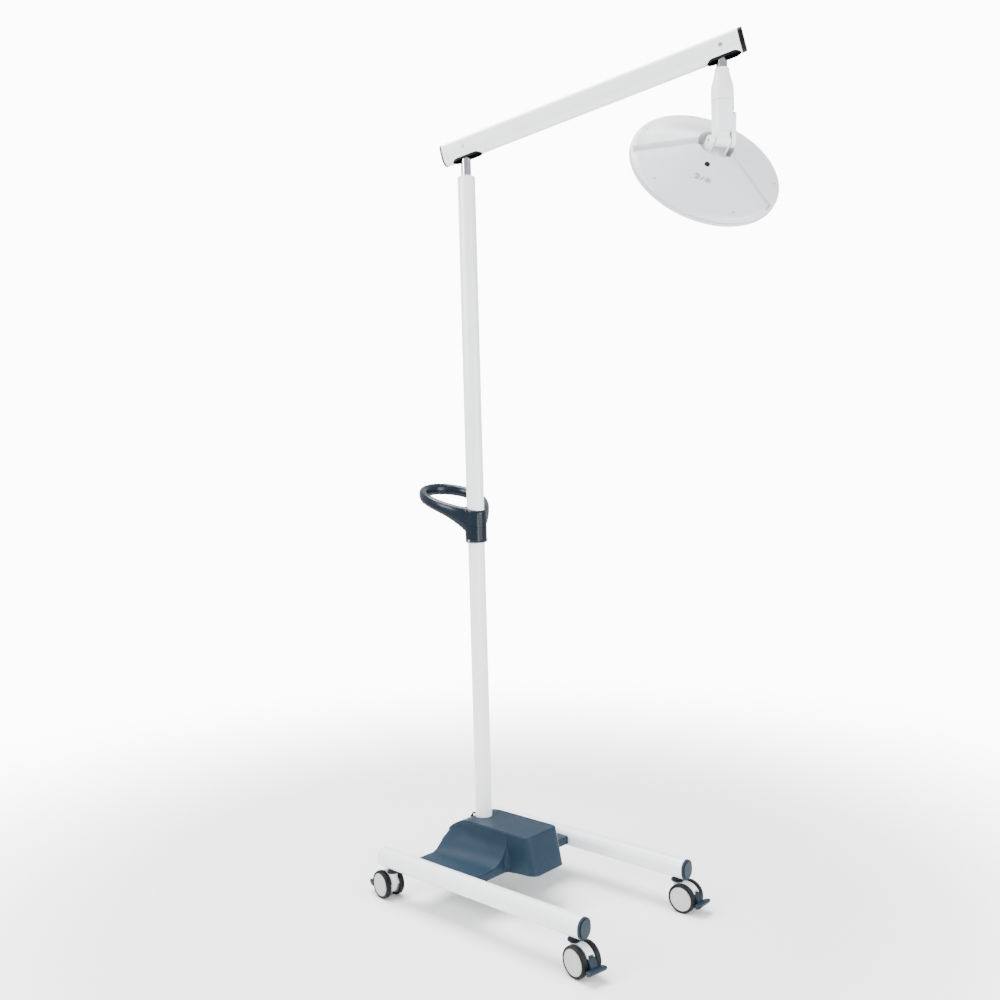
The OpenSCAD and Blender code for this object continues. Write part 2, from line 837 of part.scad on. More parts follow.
module head_cradle() {
    floor_z = dome_top - recess_depth;
    color(white) at_head() difference() {
        union() {
            translate([-18, -36, floor_z]) cube([36, 50, 12]);
            for (e = [[-36, 11], [8.4, 5.6]]) {
                translate([-11, e[0], floor_z]) cube([22, e[1], -floor_z]);
                translate([0, e[0] + e[1], 0]) rotate([90, 0, 0]) cylinder(r = 11, h = e[1]);
            }
            translate([0, head_offset, floor_z]) cylinder(r = recess_r - 3.2, h = 4);
        }
        translate([0, 40, 0]) rotate([90, 0, 0]) cylinder(r = 4, h = 80);
    }
}

// Outline of the domed back, moved in by t; the widest circle is the rim
module dome_profile(t = 0) {
    polygon([
        [0, dome_top - t], [recess_r, dome_top - t], [dome_edge_r - t * 0.3, rim_z + dome_edge_h - t],
        [head_r - 6.5 - t, rim_z + 8 - t * 0.6], [head_r - 2 - t, rim_z + 4 - t * 0.3],
        [head_r - t, rim_z], [head_r - t, rim_z - 3 - t], [0, rim_z - 3 - t]
    ]);
}

module head_back_cover() {
    wall = 3;
    floor_z = dome_top - recess_depth;
    color([0.88, 0.89, 0.9]) at_disc() difference() {
        rotate_extrude($fn = 128) dome_profile();
        rotate_extrude($fn = 128) difference() {
            dome_profile(wall + groove_depth * 0.6);
            translate([0, floor_z - wall]) square([recess_r + wall, recess_depth + 2 * wall]);
        }
        translate([0, 0, floor_z]) cylinder(r = recess_r, h = 60, $fn = 96);
        translate([0, 0, floor_z - wall - 1]) cylinder(r = wire_bore_r, h = wall + 2);
        for (a = groove_angles) on_dome(recess_r, a)
            translate([-8, -groove_w / 2, -groove_depth]) cube([head_r, groove_w, 30]);
        for (a = screw_angles) on_dome(screw_ring_r, a) translate([0, 0, -12]) cylinder(r = 2.3, h = 20);
        on_dome(button_ring_r, button_angle) translate([0, 0, -12]) cylinder(r = 4.6, h = 20);
    }
}

module head_front_ring() {
    color(white) at_disc() rotate_extrude($fn = 128) polygon([
        [head_r - 14, rim_z - 14], [head_r - 5, rim_z - 14], [head_r - 1.5, rim_z - 11.5],
        [head_r, rim_z - 8], [head_r, rim_z - 3.3], [head_r - 14, rim_z - 3.3]
    ]);
}

module lens_plate() {
    color([0.9, 0.95, 1, 0.4]) at_disc() difference() {
        translate([0, 0, rim_z - 12.5]) cylinder(r = head_r - 14.1, h = 2.5, $fn = 128);
        translate([0, 0, rim_z - 14]) cylinder(r = 12, h = 6);
    }
}

module led_board() {
    color([0.92, 0.93, 0.9]) at_disc() difference() {
        translate([0, 0, rim_z - 5.6]) cylinder(r = head_r - 20, h = 1.6, $fn = 128);
        translate([0, 0, rim_z - 8]) cylinder(r = 12, h = 6);
    }
}

module led_lenses() {
    color([0.95, 0.97, 1, 0.5]) at_disc() for (ringset = [[52, 8], [93, 14], [134, 20]])
        for (k = [0 : ringset[1] - 1]) rotate([0, 0, 360 * k / ringset[1]])
            translate([ringset[0], 0, rim_z - 9.6]) cylinder(r1 = 12, r2 = 7, h = 4, $fn = 24);
}

module power_button() {
    color([0.15, 0.16, 0.18]) at_disc() on_dome(button_ring_r, button_angle)
        translate([0, 0, -6]) cylinder(r = 4.2, h = 7.2, $fn = 32);
}

module rim_screws() {
    color([0.12, 0.12, 0.13]) at_disc() for (a = screw_angles) on_dome(screw_ring_r, a)
        translate([0, 0, -8]) cylinder(r = 2.2, h = 7, $fn = 24);
}

module grip() {
    color([0.85, 0.86, 0.87]) at_disc() translate([0, 0, rim_z - 10]) rotate_extrude($fn = 48) polygon([
        [0, 3.6], [11, 3.6], [11, -2.6], [19, -2.6], [20, -5], [14, -14], [12.5, -30],
        [14, -grip_len + 20], [15, -grip_len + 6], [12, -grip_len], [0, -grip_len]
    ]);
}

// ---------- the whole lamp ----------

leg_tube(1);  // left_leg_tube
leg_tube(-1);  // right_leg_tube
front_leg_caps();
rear_leg_caps();
cross_beam();
mast_socket();
chassis_plate();
counterweight();
power_supply();
base_cover();
bottom_pan();
fixing_screws();
mains_inlet();
inlet_pins();
foot_lead();
lead_glands();
mast_lower();
mast_upper();
mast_spigot();
mast_bush();
handle_upper_shell();
handle_lower_shell();
castor_stems();
for (i = [0 : 3]) {
    castor_housing(i);
    castor_tyres(i);
    castor_discs(i);
    castor_pedal(i);
}
arm_post();
arm_tube();
arm_end_caps();
arm_slot_liners();
pivot_pins();
friction_washers();
level_rod();
drop_rod();
bell_collar();
swivel_body();
yoke_cheek();
tilt_pin();
head_cradle();
head_back_cover();
head_front_ring();
lens_plate();
led_board();
led_lenses();
power_button();
rim_screws();
grip();
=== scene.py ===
"""Looks of a mobile examination lamp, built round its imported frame.

Lengths are in millimetres in the size fields and in metres in Blender.  X points along the
legs to the front, Z up, and the origin is on the floor on the axis of the mast.
"""

import json
import logging
import math
from dataclasses import dataclass, field
from enum import Enum
from typing import Callable, Sequence

import bmesh
import bpy
from mathutils import Matrix, Vector

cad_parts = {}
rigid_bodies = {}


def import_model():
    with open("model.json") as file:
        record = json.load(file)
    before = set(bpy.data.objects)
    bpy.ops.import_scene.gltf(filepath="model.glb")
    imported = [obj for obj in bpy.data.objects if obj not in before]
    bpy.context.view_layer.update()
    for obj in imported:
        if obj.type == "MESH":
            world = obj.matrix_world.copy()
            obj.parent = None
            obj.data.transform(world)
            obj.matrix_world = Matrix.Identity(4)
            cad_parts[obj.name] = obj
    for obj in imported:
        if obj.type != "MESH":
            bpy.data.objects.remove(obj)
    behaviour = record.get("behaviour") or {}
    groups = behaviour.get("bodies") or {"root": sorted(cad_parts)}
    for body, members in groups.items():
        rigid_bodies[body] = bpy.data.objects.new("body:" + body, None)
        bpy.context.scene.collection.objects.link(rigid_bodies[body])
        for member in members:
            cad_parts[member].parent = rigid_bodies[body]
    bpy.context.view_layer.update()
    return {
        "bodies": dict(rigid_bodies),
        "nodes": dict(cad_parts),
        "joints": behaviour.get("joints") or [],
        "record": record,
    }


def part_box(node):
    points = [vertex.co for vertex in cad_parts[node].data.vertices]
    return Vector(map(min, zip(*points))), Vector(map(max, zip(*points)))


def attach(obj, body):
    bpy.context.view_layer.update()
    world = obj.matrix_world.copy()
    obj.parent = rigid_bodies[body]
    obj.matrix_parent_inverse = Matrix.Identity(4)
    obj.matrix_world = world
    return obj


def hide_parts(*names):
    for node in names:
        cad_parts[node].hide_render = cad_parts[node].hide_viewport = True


LOG = logging.getLogger("examination_lamp")
MM = 0.001

Point2 = tuple[float, float]
Point3 = tuple[float, float, float]
Colour = tuple[float, float, float]


class Element(Enum):
    """Kinds of mesh element that edit mode can select."""

    VERT = "VERT"
    EDGE = "EDGE"
    FACE = "FACE"


class Castor(Enum):
    """The four castors by their place on the legs."""

    FRONT_LEFT = "front_left"
    FRONT_RIGHT = "front_right"
    REAR_LEFT = "rear_left"
    REAR_RIGHT = "rear_right"


class Cut(Enum):
    """Ways in which one solid acts on another."""

    TAKE_AWAY = "DIFFERENCE"
    ADD = "UNION"
    KEEP_COMMON = "INTERSECT"


# ---------------------------------------------------------------- bench work


class Bench:
    """Modelling steps on one mesh at a time, done with Blender's own operators."""

    @staticmethod
    def clear() -> None:
        """Leaves edit mode and deselects everything."""
        if bpy.context.mode != "OBJECT":
            bpy.ops.object.mode_set(mode="OBJECT")
        bpy.ops.object.select_all(action="DESELECT")

    @staticmethod
    def pick(obj: bpy.types.Object) -> None:
        """Makes one object the only selected and the active one."""
        Bench.clear()
        obj.select_set(True)
        bpy.context.view_layer.objects.active = obj

    @staticmethod
    def edit(obj: bpy.types.Object) -> None:
        """Opens one object in edit mode with nothing selected."""
        Bench.pick(obj)
        bpy.ops.object.mode_set(mode="EDIT")
        bpy.ops.mesh.select_all(action="DESELECT")

    @staticmethod
    def choose(obj: bpy.types.Object, kind: Element, test: Callable[..., bool]) -> int:
        """Selects, in edit mode, the elements that pass a test.

        Args:
            obj: The object open in edit mode.
            kind: Which elements are tested.
            test: Says whether a bmesh element is wanted.

        Returns:
            How many elements are now selected.
        """
        bpy.ops.mesh.select_mode(type=kind.value)
        bpy.ops.mesh.select_all(action="DESELECT")
        mesh = bmesh.from_edit_mesh(obj.data)
        rows = {Element.VERT: mesh.verts, Element.EDGE: mesh.edges, Element.FACE: mesh.faces}[kind]
        wanted = [part for part in rows if test(part)]
        for part in wanted:
            part.select_set(True)
        mesh.select_flush_mode()
        bmesh.update_edit_mesh(obj.data)
        return len(wanted)

    @staticmethod
    def close_mesh(obj: bpy.types.Object, outward: bool = True) -> None:
        """Merges doubled vertices, turns all faces outwards and leaves edit mode."""
        Bench.edit(obj)
        bpy.ops.mesh.select_all(action="SELECT")
        bpy.ops.mesh.remove_doubles(threshold=2e-6)
        bpy.ops.mesh.dissolve_degenerate(threshold=1e-6)
        if outward:
            bpy.ops.mesh.select_all(action="SELECT")
            bpy.ops.mesh.normals_make_consistent(inside=False)
        Bench.clear()

    @staticmethod
    def place(obj: bpy.types.Object, matrix: Matrix) -> None:
        """Moves a mesh by a matrix and leaves its object at the origin."""
        Bench.pick(obj)
        obj.matrix_world = matrix
        bpy.ops.object.transform_apply(location=True, rotation=True, scale=True)

    @staticmethod
    def outline(name: str, points: Sequence[Point3], closed: bool = True) -> bpy.types.Object:
        """Draws a line of vertices by extruding one vertex from point to point.

        Args:
            name: Name of the new object.
            points: The line's points, in millimetres.
            closed: Whether the last point is joined to the first.

        Returns:
            The new object, with edges only.
        """
        Bench.clear()
        bpy.ops.mesh.primitive_plane_add(size=MM)
        obj = bpy.context.object
        obj.name = obj.data.name = name
        bpy.ops.object.mode_set(mode="EDIT")
        bpy.ops.mesh.select_mode(type="VERT")
        bpy.ops.mesh.select_all(action="SELECT")
        bpy.ops.mesh.merge(type="CENTER")
        places = [Vector(p) * MM for p in points]
        bpy.ops.transform.translate(value=places[0])
        for start, end in zip(places, places[1:]):
            bpy.ops.mesh.extrude_vertices_move(TRANSFORM_OT_translate={"value": end - start})
        if closed:
            ends = (0, len(places) - 1)
            Bench.choose(obj, Element.VERT, lambda v: v.index in ends)
            bpy.ops.mesh.edge_face_add()
        Bench.clear()
        return obj

    @staticmethod
    def lathe(name: str, profile: Sequence[Point2], steps: int = 96,
            closed: bool = False) -> bpy.types.Object:
        """Spins a half profile round Z.

        Args:
            name: Name of the new object.
            profile: Points of radius and height, in millimetres.
            steps: Steps of the full turn.
            closed: Whether the profile is a closed ring rather than a line from axis to axis.

        Returns:
            The closed, turned mesh.
        """
        obj = Bench.outline(name, [(r, 0.0, h) for r, h in profile], closed)
        Bench.edit(obj)
        bpy.ops.mesh.select_all(action="SELECT")
        bpy.ops.mesh.spin(steps=steps, angle=math.tau, center=(0, 0, 0), axis=(0, 0, 1))
        Bench.close_mesh(obj)
        return obj

    @staticmethod
    def prism(name: str, points: Sequence[Point2], low: float, high: float) -> bpy.types.Object:
        """Extrudes a closed outline along Z.

        Args:
            name: Name of the new object.
            points: The outline in X and Y, in millimetres.
            low: Height of its underside.
            high: Height of its top.

        Returns:
            The closed prism.
        """
        obj = Bench.outline(name, [(x, y, low) for x, y in points])
        Bench.edit(obj)
        bpy.ops.mesh.select_all(action="SELECT")
        bpy.ops.mesh.edge_face_add()
        bpy.ops.mesh.extrude_region_move(TRANSFORM_OT_translate={"value": (0, 0, (high - low) * MM)})
        Bench.close_mesh(obj)
        return obj

    @staticmethod
    def sheet(name: str, columns: int, rows: int, spot: Callable[[int, int], Point3]) -> bpy.types.Object:
        """Adds a grid and moves each of its vertices to its place.

        Args:
            name: Name of the new object.
            columns: Vertices along the grid's first direction.
            rows: Vertices along its second direction.
            spot: Gives the place, in millimetres, of a column and row.

        Returns:
            The mesh with its touching seams merged.
        """
        Bench.clear()
        bpy.ops.mesh.primitive_grid_add(x_subdivisions=columns - 1, y_subdivisions=rows - 1, size=1)
        obj = bpy.context.object
        obj.name = obj.data.name = name
        order = sorted(range(len(obj.data.vertices)), key=lambda i: (
            round(obj.data.vertices[i].co.y, 5), round(obj.data.vertices[i].co.x, 5)))
        for count, index in enumerate(order):
            row, column = divmod(count, columns)
            obj.data.vertices[index].co = Vector(spot(column, row)) * MM
        Bench.close_mesh(obj)
        return obj

    @staticmethod
    def block(name: str, centre: Point3, size: Point3) -> bpy.types.Object:
        """Adds a box of a size at a place, both in millimetres."""
        Bench.clear()
        bpy.ops.mesh.primitive_cube_add(size=1, location=Vector(centre) * MM, scale=Vector(size) * MM)
        obj = bpy.context.object
        obj.name = obj.data.name = name
        bpy.ops.object.transform_apply(location=True, rotation=True, scale=True)
        return obj

    @staticmethod
    def rod(name: str, radius: float, low: float, high: float, sides: int = 64) -> bpy.types.Object:
        """Adds an upright round bar on the Z axis, in millimetres."""
        Bench.clear()
        bpy.ops.mesh.primitive_cylinder_add(
            vertices=sides, radius=radius * MM, depth=(high - low) * MM,
            location=(0, 0, (high + low) / 2 * MM))
        obj = bpy.context.object
        obj.name = obj.data.name = name
        bpy.ops.object.transform_apply(location=True, rotation=True, scale=True)
        return obj

    @staticmethod
    def use(obj: bpy.types.Object, kind: str, **settings: object) -> None:
        """Adds a modifier, sets it and applies it."""
        Bench.pick(obj)
        step = obj.modifiers.new(kind.title(), kind)
        for key, value in settings.items():
            setattr(step, key, value)
        bpy.ops.object.modifier_apply(modifier=step.name)

    @staticmethod
    def combine(obj: bpy.types.Object, tool: bpy.types.Object, cut: Cut) -> None:
        """Cuts, adds or intersects one solid with another and removes the tool."""
        Bench.use(obj, "BOOLEAN", object=tool, operation=cut.value, solver="EXACT")
        bpy.data.objects.remove(tool)

    @staticmethod
    def join(first: bpy.types.Object, *others: bpy.types.Object) -> bpy.types.Object:
        """Joins meshes into the first one."""
        Bench.pick(first)
        for other in others:
            other.select_set(True)
        bpy.ops.object.join()
        Bench.clear()
        return first

    @staticmethod
    def copy(obj: bpy.types.Object, name: str) -> bpy.types.Object:
        """Copies an object with a mesh of its own."""
        made = bpy.data.objects.new(name, obj.data.copy())
        made.data.name = name
        bpy.context.scene.collection.objects.link(made)
        return made

    @staticmethod
    def bevel(obj: bpy.types.Object, width: float, test: Callable[..., bool], segments: int = 3) -> None:
        """Rounds the edges that pass a test, by a width in millimetres."""
        Bench.edit(obj)
        if Bench.choose(obj, Element.EDGE, test):
            bpy.ops.mesh.bevel(offset=width * MM, segments=segments, affect="EDGES", clamp_overlap=True)
        Bench.clear()

    @staticmethod
    def soften(obj: bpy.types.Object, width: float, angle: float = 35, segments: int = 2) -> None:
        """Rounds every edge sharper than an angle, by a width in millimetres."""
        Bench.use(obj, "BEVEL", width=width * MM, segments=segments, limit_method="ANGLE",
                  angle_limit=math.radians(angle), use_clamp_overlap=True)

    @staticmethod
    def shade(obj: bpy.types.Object, angle: float = 32) -> None:
        """Shades a mesh smooth up to an angle, with its normals weighted by face area."""
        Bench.pick(obj)
        bpy.ops.object.shade_smooth_by_angle(angle=math.radians(angle))
        for step in list(obj.modifiers):
            bpy.ops.object.modifier_apply(modifier=step.name)
        Bench.use(obj, "WEIGHTED_NORMAL", keep_sharp=True)
        Bench.clear()


def arc(centre: Point2, radius: float, start: float, end: float, steps: int) -> list[Point2]:
    """Points on an arc.

    Args:
        centre: The arc's centre.
        radius: Its radius.
        start: Angle of its first point in degrees.
        end: Angle of its last point.
        steps: Number of steps between them.

    Returns:
        The points, both ends included.
    """
    angles = [math.radians(start + (end - start) * k / steps) for k in range(steps + 1)]
    return [(centre[0] + radius * math.cos(a), centre[1] + radius * math.sin(a)) for a in angles]


def axes(origin: Vector, x: Vector, y: Vector, z: Vector) -> Matrix:
    """Placing matrix from an origin and three unit axes."""
    made = Matrix.Identity(4)
    for column, axis in enumerate((x, y, z)):
        made.col[column][:3] = axis
    made.translation = origin
    return made


# ---------------------------------------------------------------- finishes


class ShaderGroups:
    """Shared effects, each built once as a node group."""

    def __init__(self) -> None:
        """Builds the three groups."""
        self.drift = self._tone_drift()
        self.grain = self._moulded_grain()
        self.marks = self._handling_marks()

    @staticmethod
    def _new(name: str, inputs: Sequence[tuple[str, str, object]], outputs: Sequence[tuple[str, str]]
             ) -> tuple[bpy.types.NodeTree, bpy.types.Node, bpy.types.Node]:
        """Starts a group with named sockets and returns it with its two end nodes."""
        group = bpy.data.node_groups.new(name, "ShaderNodeTree")
        for label, kind, value in inputs:
            socket = group.interface.new_socket(label, in_out="INPUT", socket_type=kind)
            socket.default_value = value
        for label, kind in outputs:
            group.interface.new_socket(label, in_out="OUTPUT", socket_type=kind)
        return group, group.nodes.new("NodeGroupInput"), group.nodes.new("NodeGroupOutput")

    def _tone_drift(self) -> bpy.types.NodeTree:
        """Slow change between two close tones, as on any moulded or painted part."""
        group, start, end = self._new(
            "tone_drift",
            [("Tone", "NodeSocketColor", (0.8, 0.8, 0.8, 1)),
                ("Other Tone", "NodeSocketColor", (0.7, 0.7, 0.7, 1)),
             ("Scale", "NodeSocketFloat", 14.0)],
            [("Colour", "NodeSocketColor"), ("Mask", "NodeSocketFloat")])
        place = group.nodes.new("ShaderNodeTexCoord")
        noise = group.nodes.new("ShaderNodeTexNoise")
        noise.inputs["Detail"].default_value = 5
        noise.inputs["Roughness"].default_value = 0.55
        spread = group.nodes.new("ShaderNodeMapRange")
        spread.inputs["From Min"].default_value = 0.34
        spread.inputs["From Max"].default_value = 0.68
        mix = group.nodes.new("ShaderNodeMix")
        mix.data_type = "RGBA"
        link = group.links.new
        link(place.outputs["Object"], noise.inputs["Vector"])
        link(start.outputs["Scale"], noise.inputs["Scale"])
        link(noise.outputs["Fac"], spread.inputs["Value"])
        link(spread.outputs["Result"], mix.inputs[0])
        link(start.outputs["Tone"], mix.inputs[6])
        link(start.outputs["Other Tone"], mix.inputs[7])
        link(mix.outputs[2], end.inputs["Colour"])
        link(spread.outputs["Result"], end.inputs["Mask"])
        return group

    def _moulded_grain(self) -> bpy.types.NodeTree:
        """Fine pebbled height of a moulded or powder-coated surface."""
        group, start, end = self._new(
            "moulded_grain",
            [("Scale", "NodeSocketFloat", 900.0), ("Pebble", "NodeSocketFloat", 0.5)],
            [("Height", "NodeSocketFloat")])
        place = group.nodes.new("ShaderNodeTexCoord")
        cells = group.nodes.new("ShaderNodeTexVoronoi")
        cells.feature = "SMOOTH_F1"
        noise = group.nodes.new("ShaderNodeTexNoise")
        noise.inputs["Detail"].default_value = 3
        mix = group.nodes.new("ShaderNodeMix")
        link = group.links.new
        link(place.outputs["Object"], cells.inputs["Vector"])
        link(place.outputs["Object"], noise.inputs["Vector"])
        link(start.outputs["Scale"], cells.inputs["Scale"])
        link(start.outputs["Scale"], noise.inputs["Scale"])
        link(start.outputs["Pebble"], mix.inputs["Factor"])
        link(noise.outputs["Fac"], mix.inputs["A"])
        link(cells.outputs["Distance"], mix.inputs["B"])
        link(mix.outputs["Result"], end.inputs["Height"])
        return group

    def _handling_marks(self) -> bpy.types.NodeTree:
        """Roughness with faint wiped streaks and dull patches."""
        group, start, end = self._new(
            "handling_marks",
            [("Roughness", "NodeSocketFloat", 0.4), ("Spread", "NodeSocketFloat", 0.08),
             ("Scale", "NodeSocketFloat", 22.0)],
            [("Roughness", "NodeSocketFloat"), ("Mask", "NodeSocketFloat")])
        place = group.nodes.new("ShaderNodeTexCoord")
        stretch = group.nodes.new("ShaderNodeMapping")
        stretch.inputs["Scale"].default_value = (1, 1.6, 0.45)
        noise = group.nodes.new("ShaderNodeTexNoise")
        noise.inputs["Detail"].default_value = 6
        noise.inputs["Distortion"].default_value = 0.6
        centre = group.nodes.new("ShaderNodeMath")
        centre.operation = "SUBTRACT"
        centre.inputs[1].default_value = 0.5
        product = group.nodes.new("ShaderNodeMath")
        product.operation = "MULTIPLY"
        total = group.nodes.new("ShaderNodeMath")
        total.operation = "ADD"
        total.use_clamp = True
        link = group.links.new
        link(place.outputs["Object"], stretch.inputs["Vector"])
        link(stretch.outputs["Vector"], noise.inputs["Vector"])
        link(start.outputs["Scale"], noise.inputs["Scale"])
        link(noise.outputs["Fac"], centre.inputs[0])
        link(centre.outputs["Value"], product.inputs[0])
        link(start.outputs["Spread"], product.inputs[1])
        link(product.outputs["Value"], total.inputs[0])
        link(start.outputs["Roughness"], total.inputs[1])
        link(total.outputs["Value"], end.inputs["Roughness"])
        link(noise.outputs["Fac"], end.inputs["Mask"])
        return group


@dataclass(frozen=True)
class Finish:
    """One surface finish.

    Attributes:
        slot: The record's material slot that it stands for.
        tone: Main colour, linear.
        other: Second, close colour that the tone drifts to.
        roughness: Mean roughness.
        metallic: 1 for bare metal.
        coat: Weight of a clear coat.
        grain: Cells of surface grain per metre.
        depth: Height of the grain in millimetres.
        pebble: Share of rounded cells in the grain.
        drift: Scale of the drift of tone.
        spread: Spread of the roughness.
        clear: Share of light that passes through.
        shine: Strength of the plain reflection, 0.5 for most plastics.
    """

    slot: str
    tone: Colour
    other: Colour
    roughness: float
    metallic: float = 0.0
    coat: float = 0.0
    grain: float = 900.0
    depth: float = 0.02
    pebble: float = 0.5
    drift: float = 9.0
    spread: float = 0.10
    clear: float = 0.0
    shine: float = 0.5

    def material(self, groups: ShaderGroups, name: str | None = None) -> bpy.types.Material:
        """Builds the finish's material, or returns the one already built.

        Args:
            groups: The shared effect groups.
            name: Name of the material, the slot's own if none is given.

        Returns:
            The node material.
        """
        label = name or self.slot
        if label in bpy.data.materials and bpy.data.materials[label].get("lamp_finish"):
            return bpy.data.materials[label]
        made = bpy.data.materials.new(label)
        made["lamp_finish"] = True
        made.use_nodes = True
        nodes, link = made.node_tree.nodes, made.node_tree.links.new
        shader = nodes["Principled BSDF"]
        shader.inputs["Metallic"].default_value = self.metallic
        shader.inputs["Coat Weight"].default_value = self.coat
        shader.inputs["Coat Roughness"].default_value = 0.08
        shader.inputs["Specular IOR Level"].default_value = self.shine
        if self.clear:
            shader.inputs["Transmission Weight"].default_value = self.clear
            shader.inputs["IOR"].default_value = 1.49
        tone = nodes.new("ShaderNodeGroup")
        tone.node_tree = groups.drift
        tone.inputs["Tone"].default_value = (*self.tone, 1)
        tone.inputs["Other Tone"].default_value = (*self.other, 1)
        tone.inputs["Scale"].default_value = self.drift
        marks = nodes.new("ShaderNodeGroup")
        marks.node_tree = groups.marks
        marks.inputs["Roughness"].default_value = self.roughness
        marks.inputs["Spread"].default_value = self.spread
        grain = nodes.new("ShaderNodeGroup")
        grain.node_tree = groups.grain
        grain.inputs["Scale"].default_value = self.grain
        grain.inputs["Pebble"].default_value = self.pebble
        bump = nodes.new("ShaderNodeBump")
        bump.inputs["Distance"].default_value = self.depth * MM
        bump.inputs["Strength"].default_value = 0.9
        link(tone.outputs["Colour"], shader.inputs["Base Color"])
        link(marks.outputs["Roughness"], shader.inputs["Roughness"])
        link(grain.outputs["Height"], bump.inputs["Height"])
        link(bump.outputs["Normal"], shader.inputs["Normal"])
        return made


FINISHES: tuple[Finish, ...] = (
    Finish("white_tube", (0.80, 0.81, 0.83), (0.77, 0.785, 0.80), 0.30, coat=0.25, grain=420, depth=0.03,
        pebble=0.3),
    Finish("navy_shell", (0.0085, 0.02, 0.034), (0.0105, 0.024, 0.04), 0.40, grain=1500, depth=0.012,
        shine=0.12),
    Finish("navy_handle", (0.0035, 0.0075, 0.0135), (0.0045, 0.0095, 0.016), 0.24, coat=0.0, grain=1800,
        depth=0.006, shine=0.2),
    Finish("navy_cap", (0.011, 0.02, 0.03), (0.014, 0.025, 0.036), 0.36, grain=1500, depth=0.01, shine=0.12),
    Finish("grey_cap", (0.48, 0.50, 0.52), (0.44, 0.46, 0.48), 0.42, grain=1500, depth=0.01),
    Finish("steel_raw", (0.32, 0.33, 0.34), (0.24, 0.25, 0.27), 0.38, metallic=1, grain=300, depth=0.01,
        spread=0.2),
    Finish("iron_weight", (0.050, 0.050, 0.053), (0.035, 0.034, 0.034), 0.62, metallic=0.4, grain=350,
        depth=0.25),
    Finish("supply_case", (0.62, 0.63, 0.65), (0.55, 0.56, 0.58), 0.34, metallic=1, grain=500, depth=0.01),
    Finish("pan", (0.030, 0.030, 0.033), (0.038, 0.038, 0.040), 0.5, grain=700, depth=0.04),
    Finish("screw_steel", (0.66, 0.67, 0.69), (0.58, 0.59, 0.61), 0.22, metallic=1, grain=900, depth=0.004),
    Finish("inlet_black", (0.004, 0.004, 0.0045), (0.007, 0.007, 0.008), 0.42, grain=1600, depth=0.012,
        shine=0.12),
    Finish("pin_brass", (0.72, 0.56, 0.27), (0.66, 0.50, 0.24), 0.25, metallic=1, grain=900, depth=0.003),
    Finish("lead_black", (0.004, 0.004, 0.0045), (0.007, 0.007, 0.008), 0.45, grain=1200, depth=0.02,
        shine=0.12),
    Finish("chrome_post", (0.46, 0.47, 0.49), (0.40, 0.41, 0.43), 0.10, metallic=1, grain=250, depth=0.002,
        spread=0.06),
    Finish("castor_grey", (0.62, 0.64, 0.67), (0.58, 0.60, 0.63), 0.36, grain=1400, depth=0.010),
    Finish("castor_disc", (0.40, 0.40, 0.395), (0.36, 0.36, 0.355), 0.46, grain=1100, depth=0.016),
    Finish("tyre_black", (0.004, 0.0045, 0.005), (0.009, 0.01, 0.011), 0.52, grain=1300, depth=0.03,
        drift=40, shine=0.12),
    Finish("castor_stem", (0.006, 0.01, 0.014), (0.009, 0.014, 0.019), 0.38, grain=1200, depth=0.01,
        shine=0.12),
    Finish("pedal_navy", (0.008, 0.016, 0.027), (0.011, 0.021, 0.034), 0.34, grain=1500, depth=0.01,
        shine=0.12),
    Finish("arm_black", (0.0025, 0.0025, 0.003), (0.004, 0.004, 0.005), 0.4, grain=1500, depth=0.01,
        shine=0.12),
    Finish("white_plastic", (0.76, 0.77, 0.79), (0.73, 0.74, 0.76), 0.32, coat=0.1, grain=1200, depth=0.010),
    Finish("head_white", (0.60, 0.61, 0.635), (0.57, 0.58, 0.605), 0.36, grain=1250, depth=0.022, pebble=0.7),
    Finish("lens_clear", (0.93, 0.95, 0.96), (0.90, 0.93, 0.95), 0.06, grain=150, depth=0.02, spread=0.02,
        clear=0.92),
    Finish("led_board", (0.74, 0.75, 0.72), (0.70, 0.71, 0.68), 0.45, grain=800, depth=0.01),
    Finish("button_dark", (0.008, 0.0085, 0.01), (0.012, 0.0125, 0.014), 0.5, grain=1400, depth=0.02,
        shine=0.12),
)


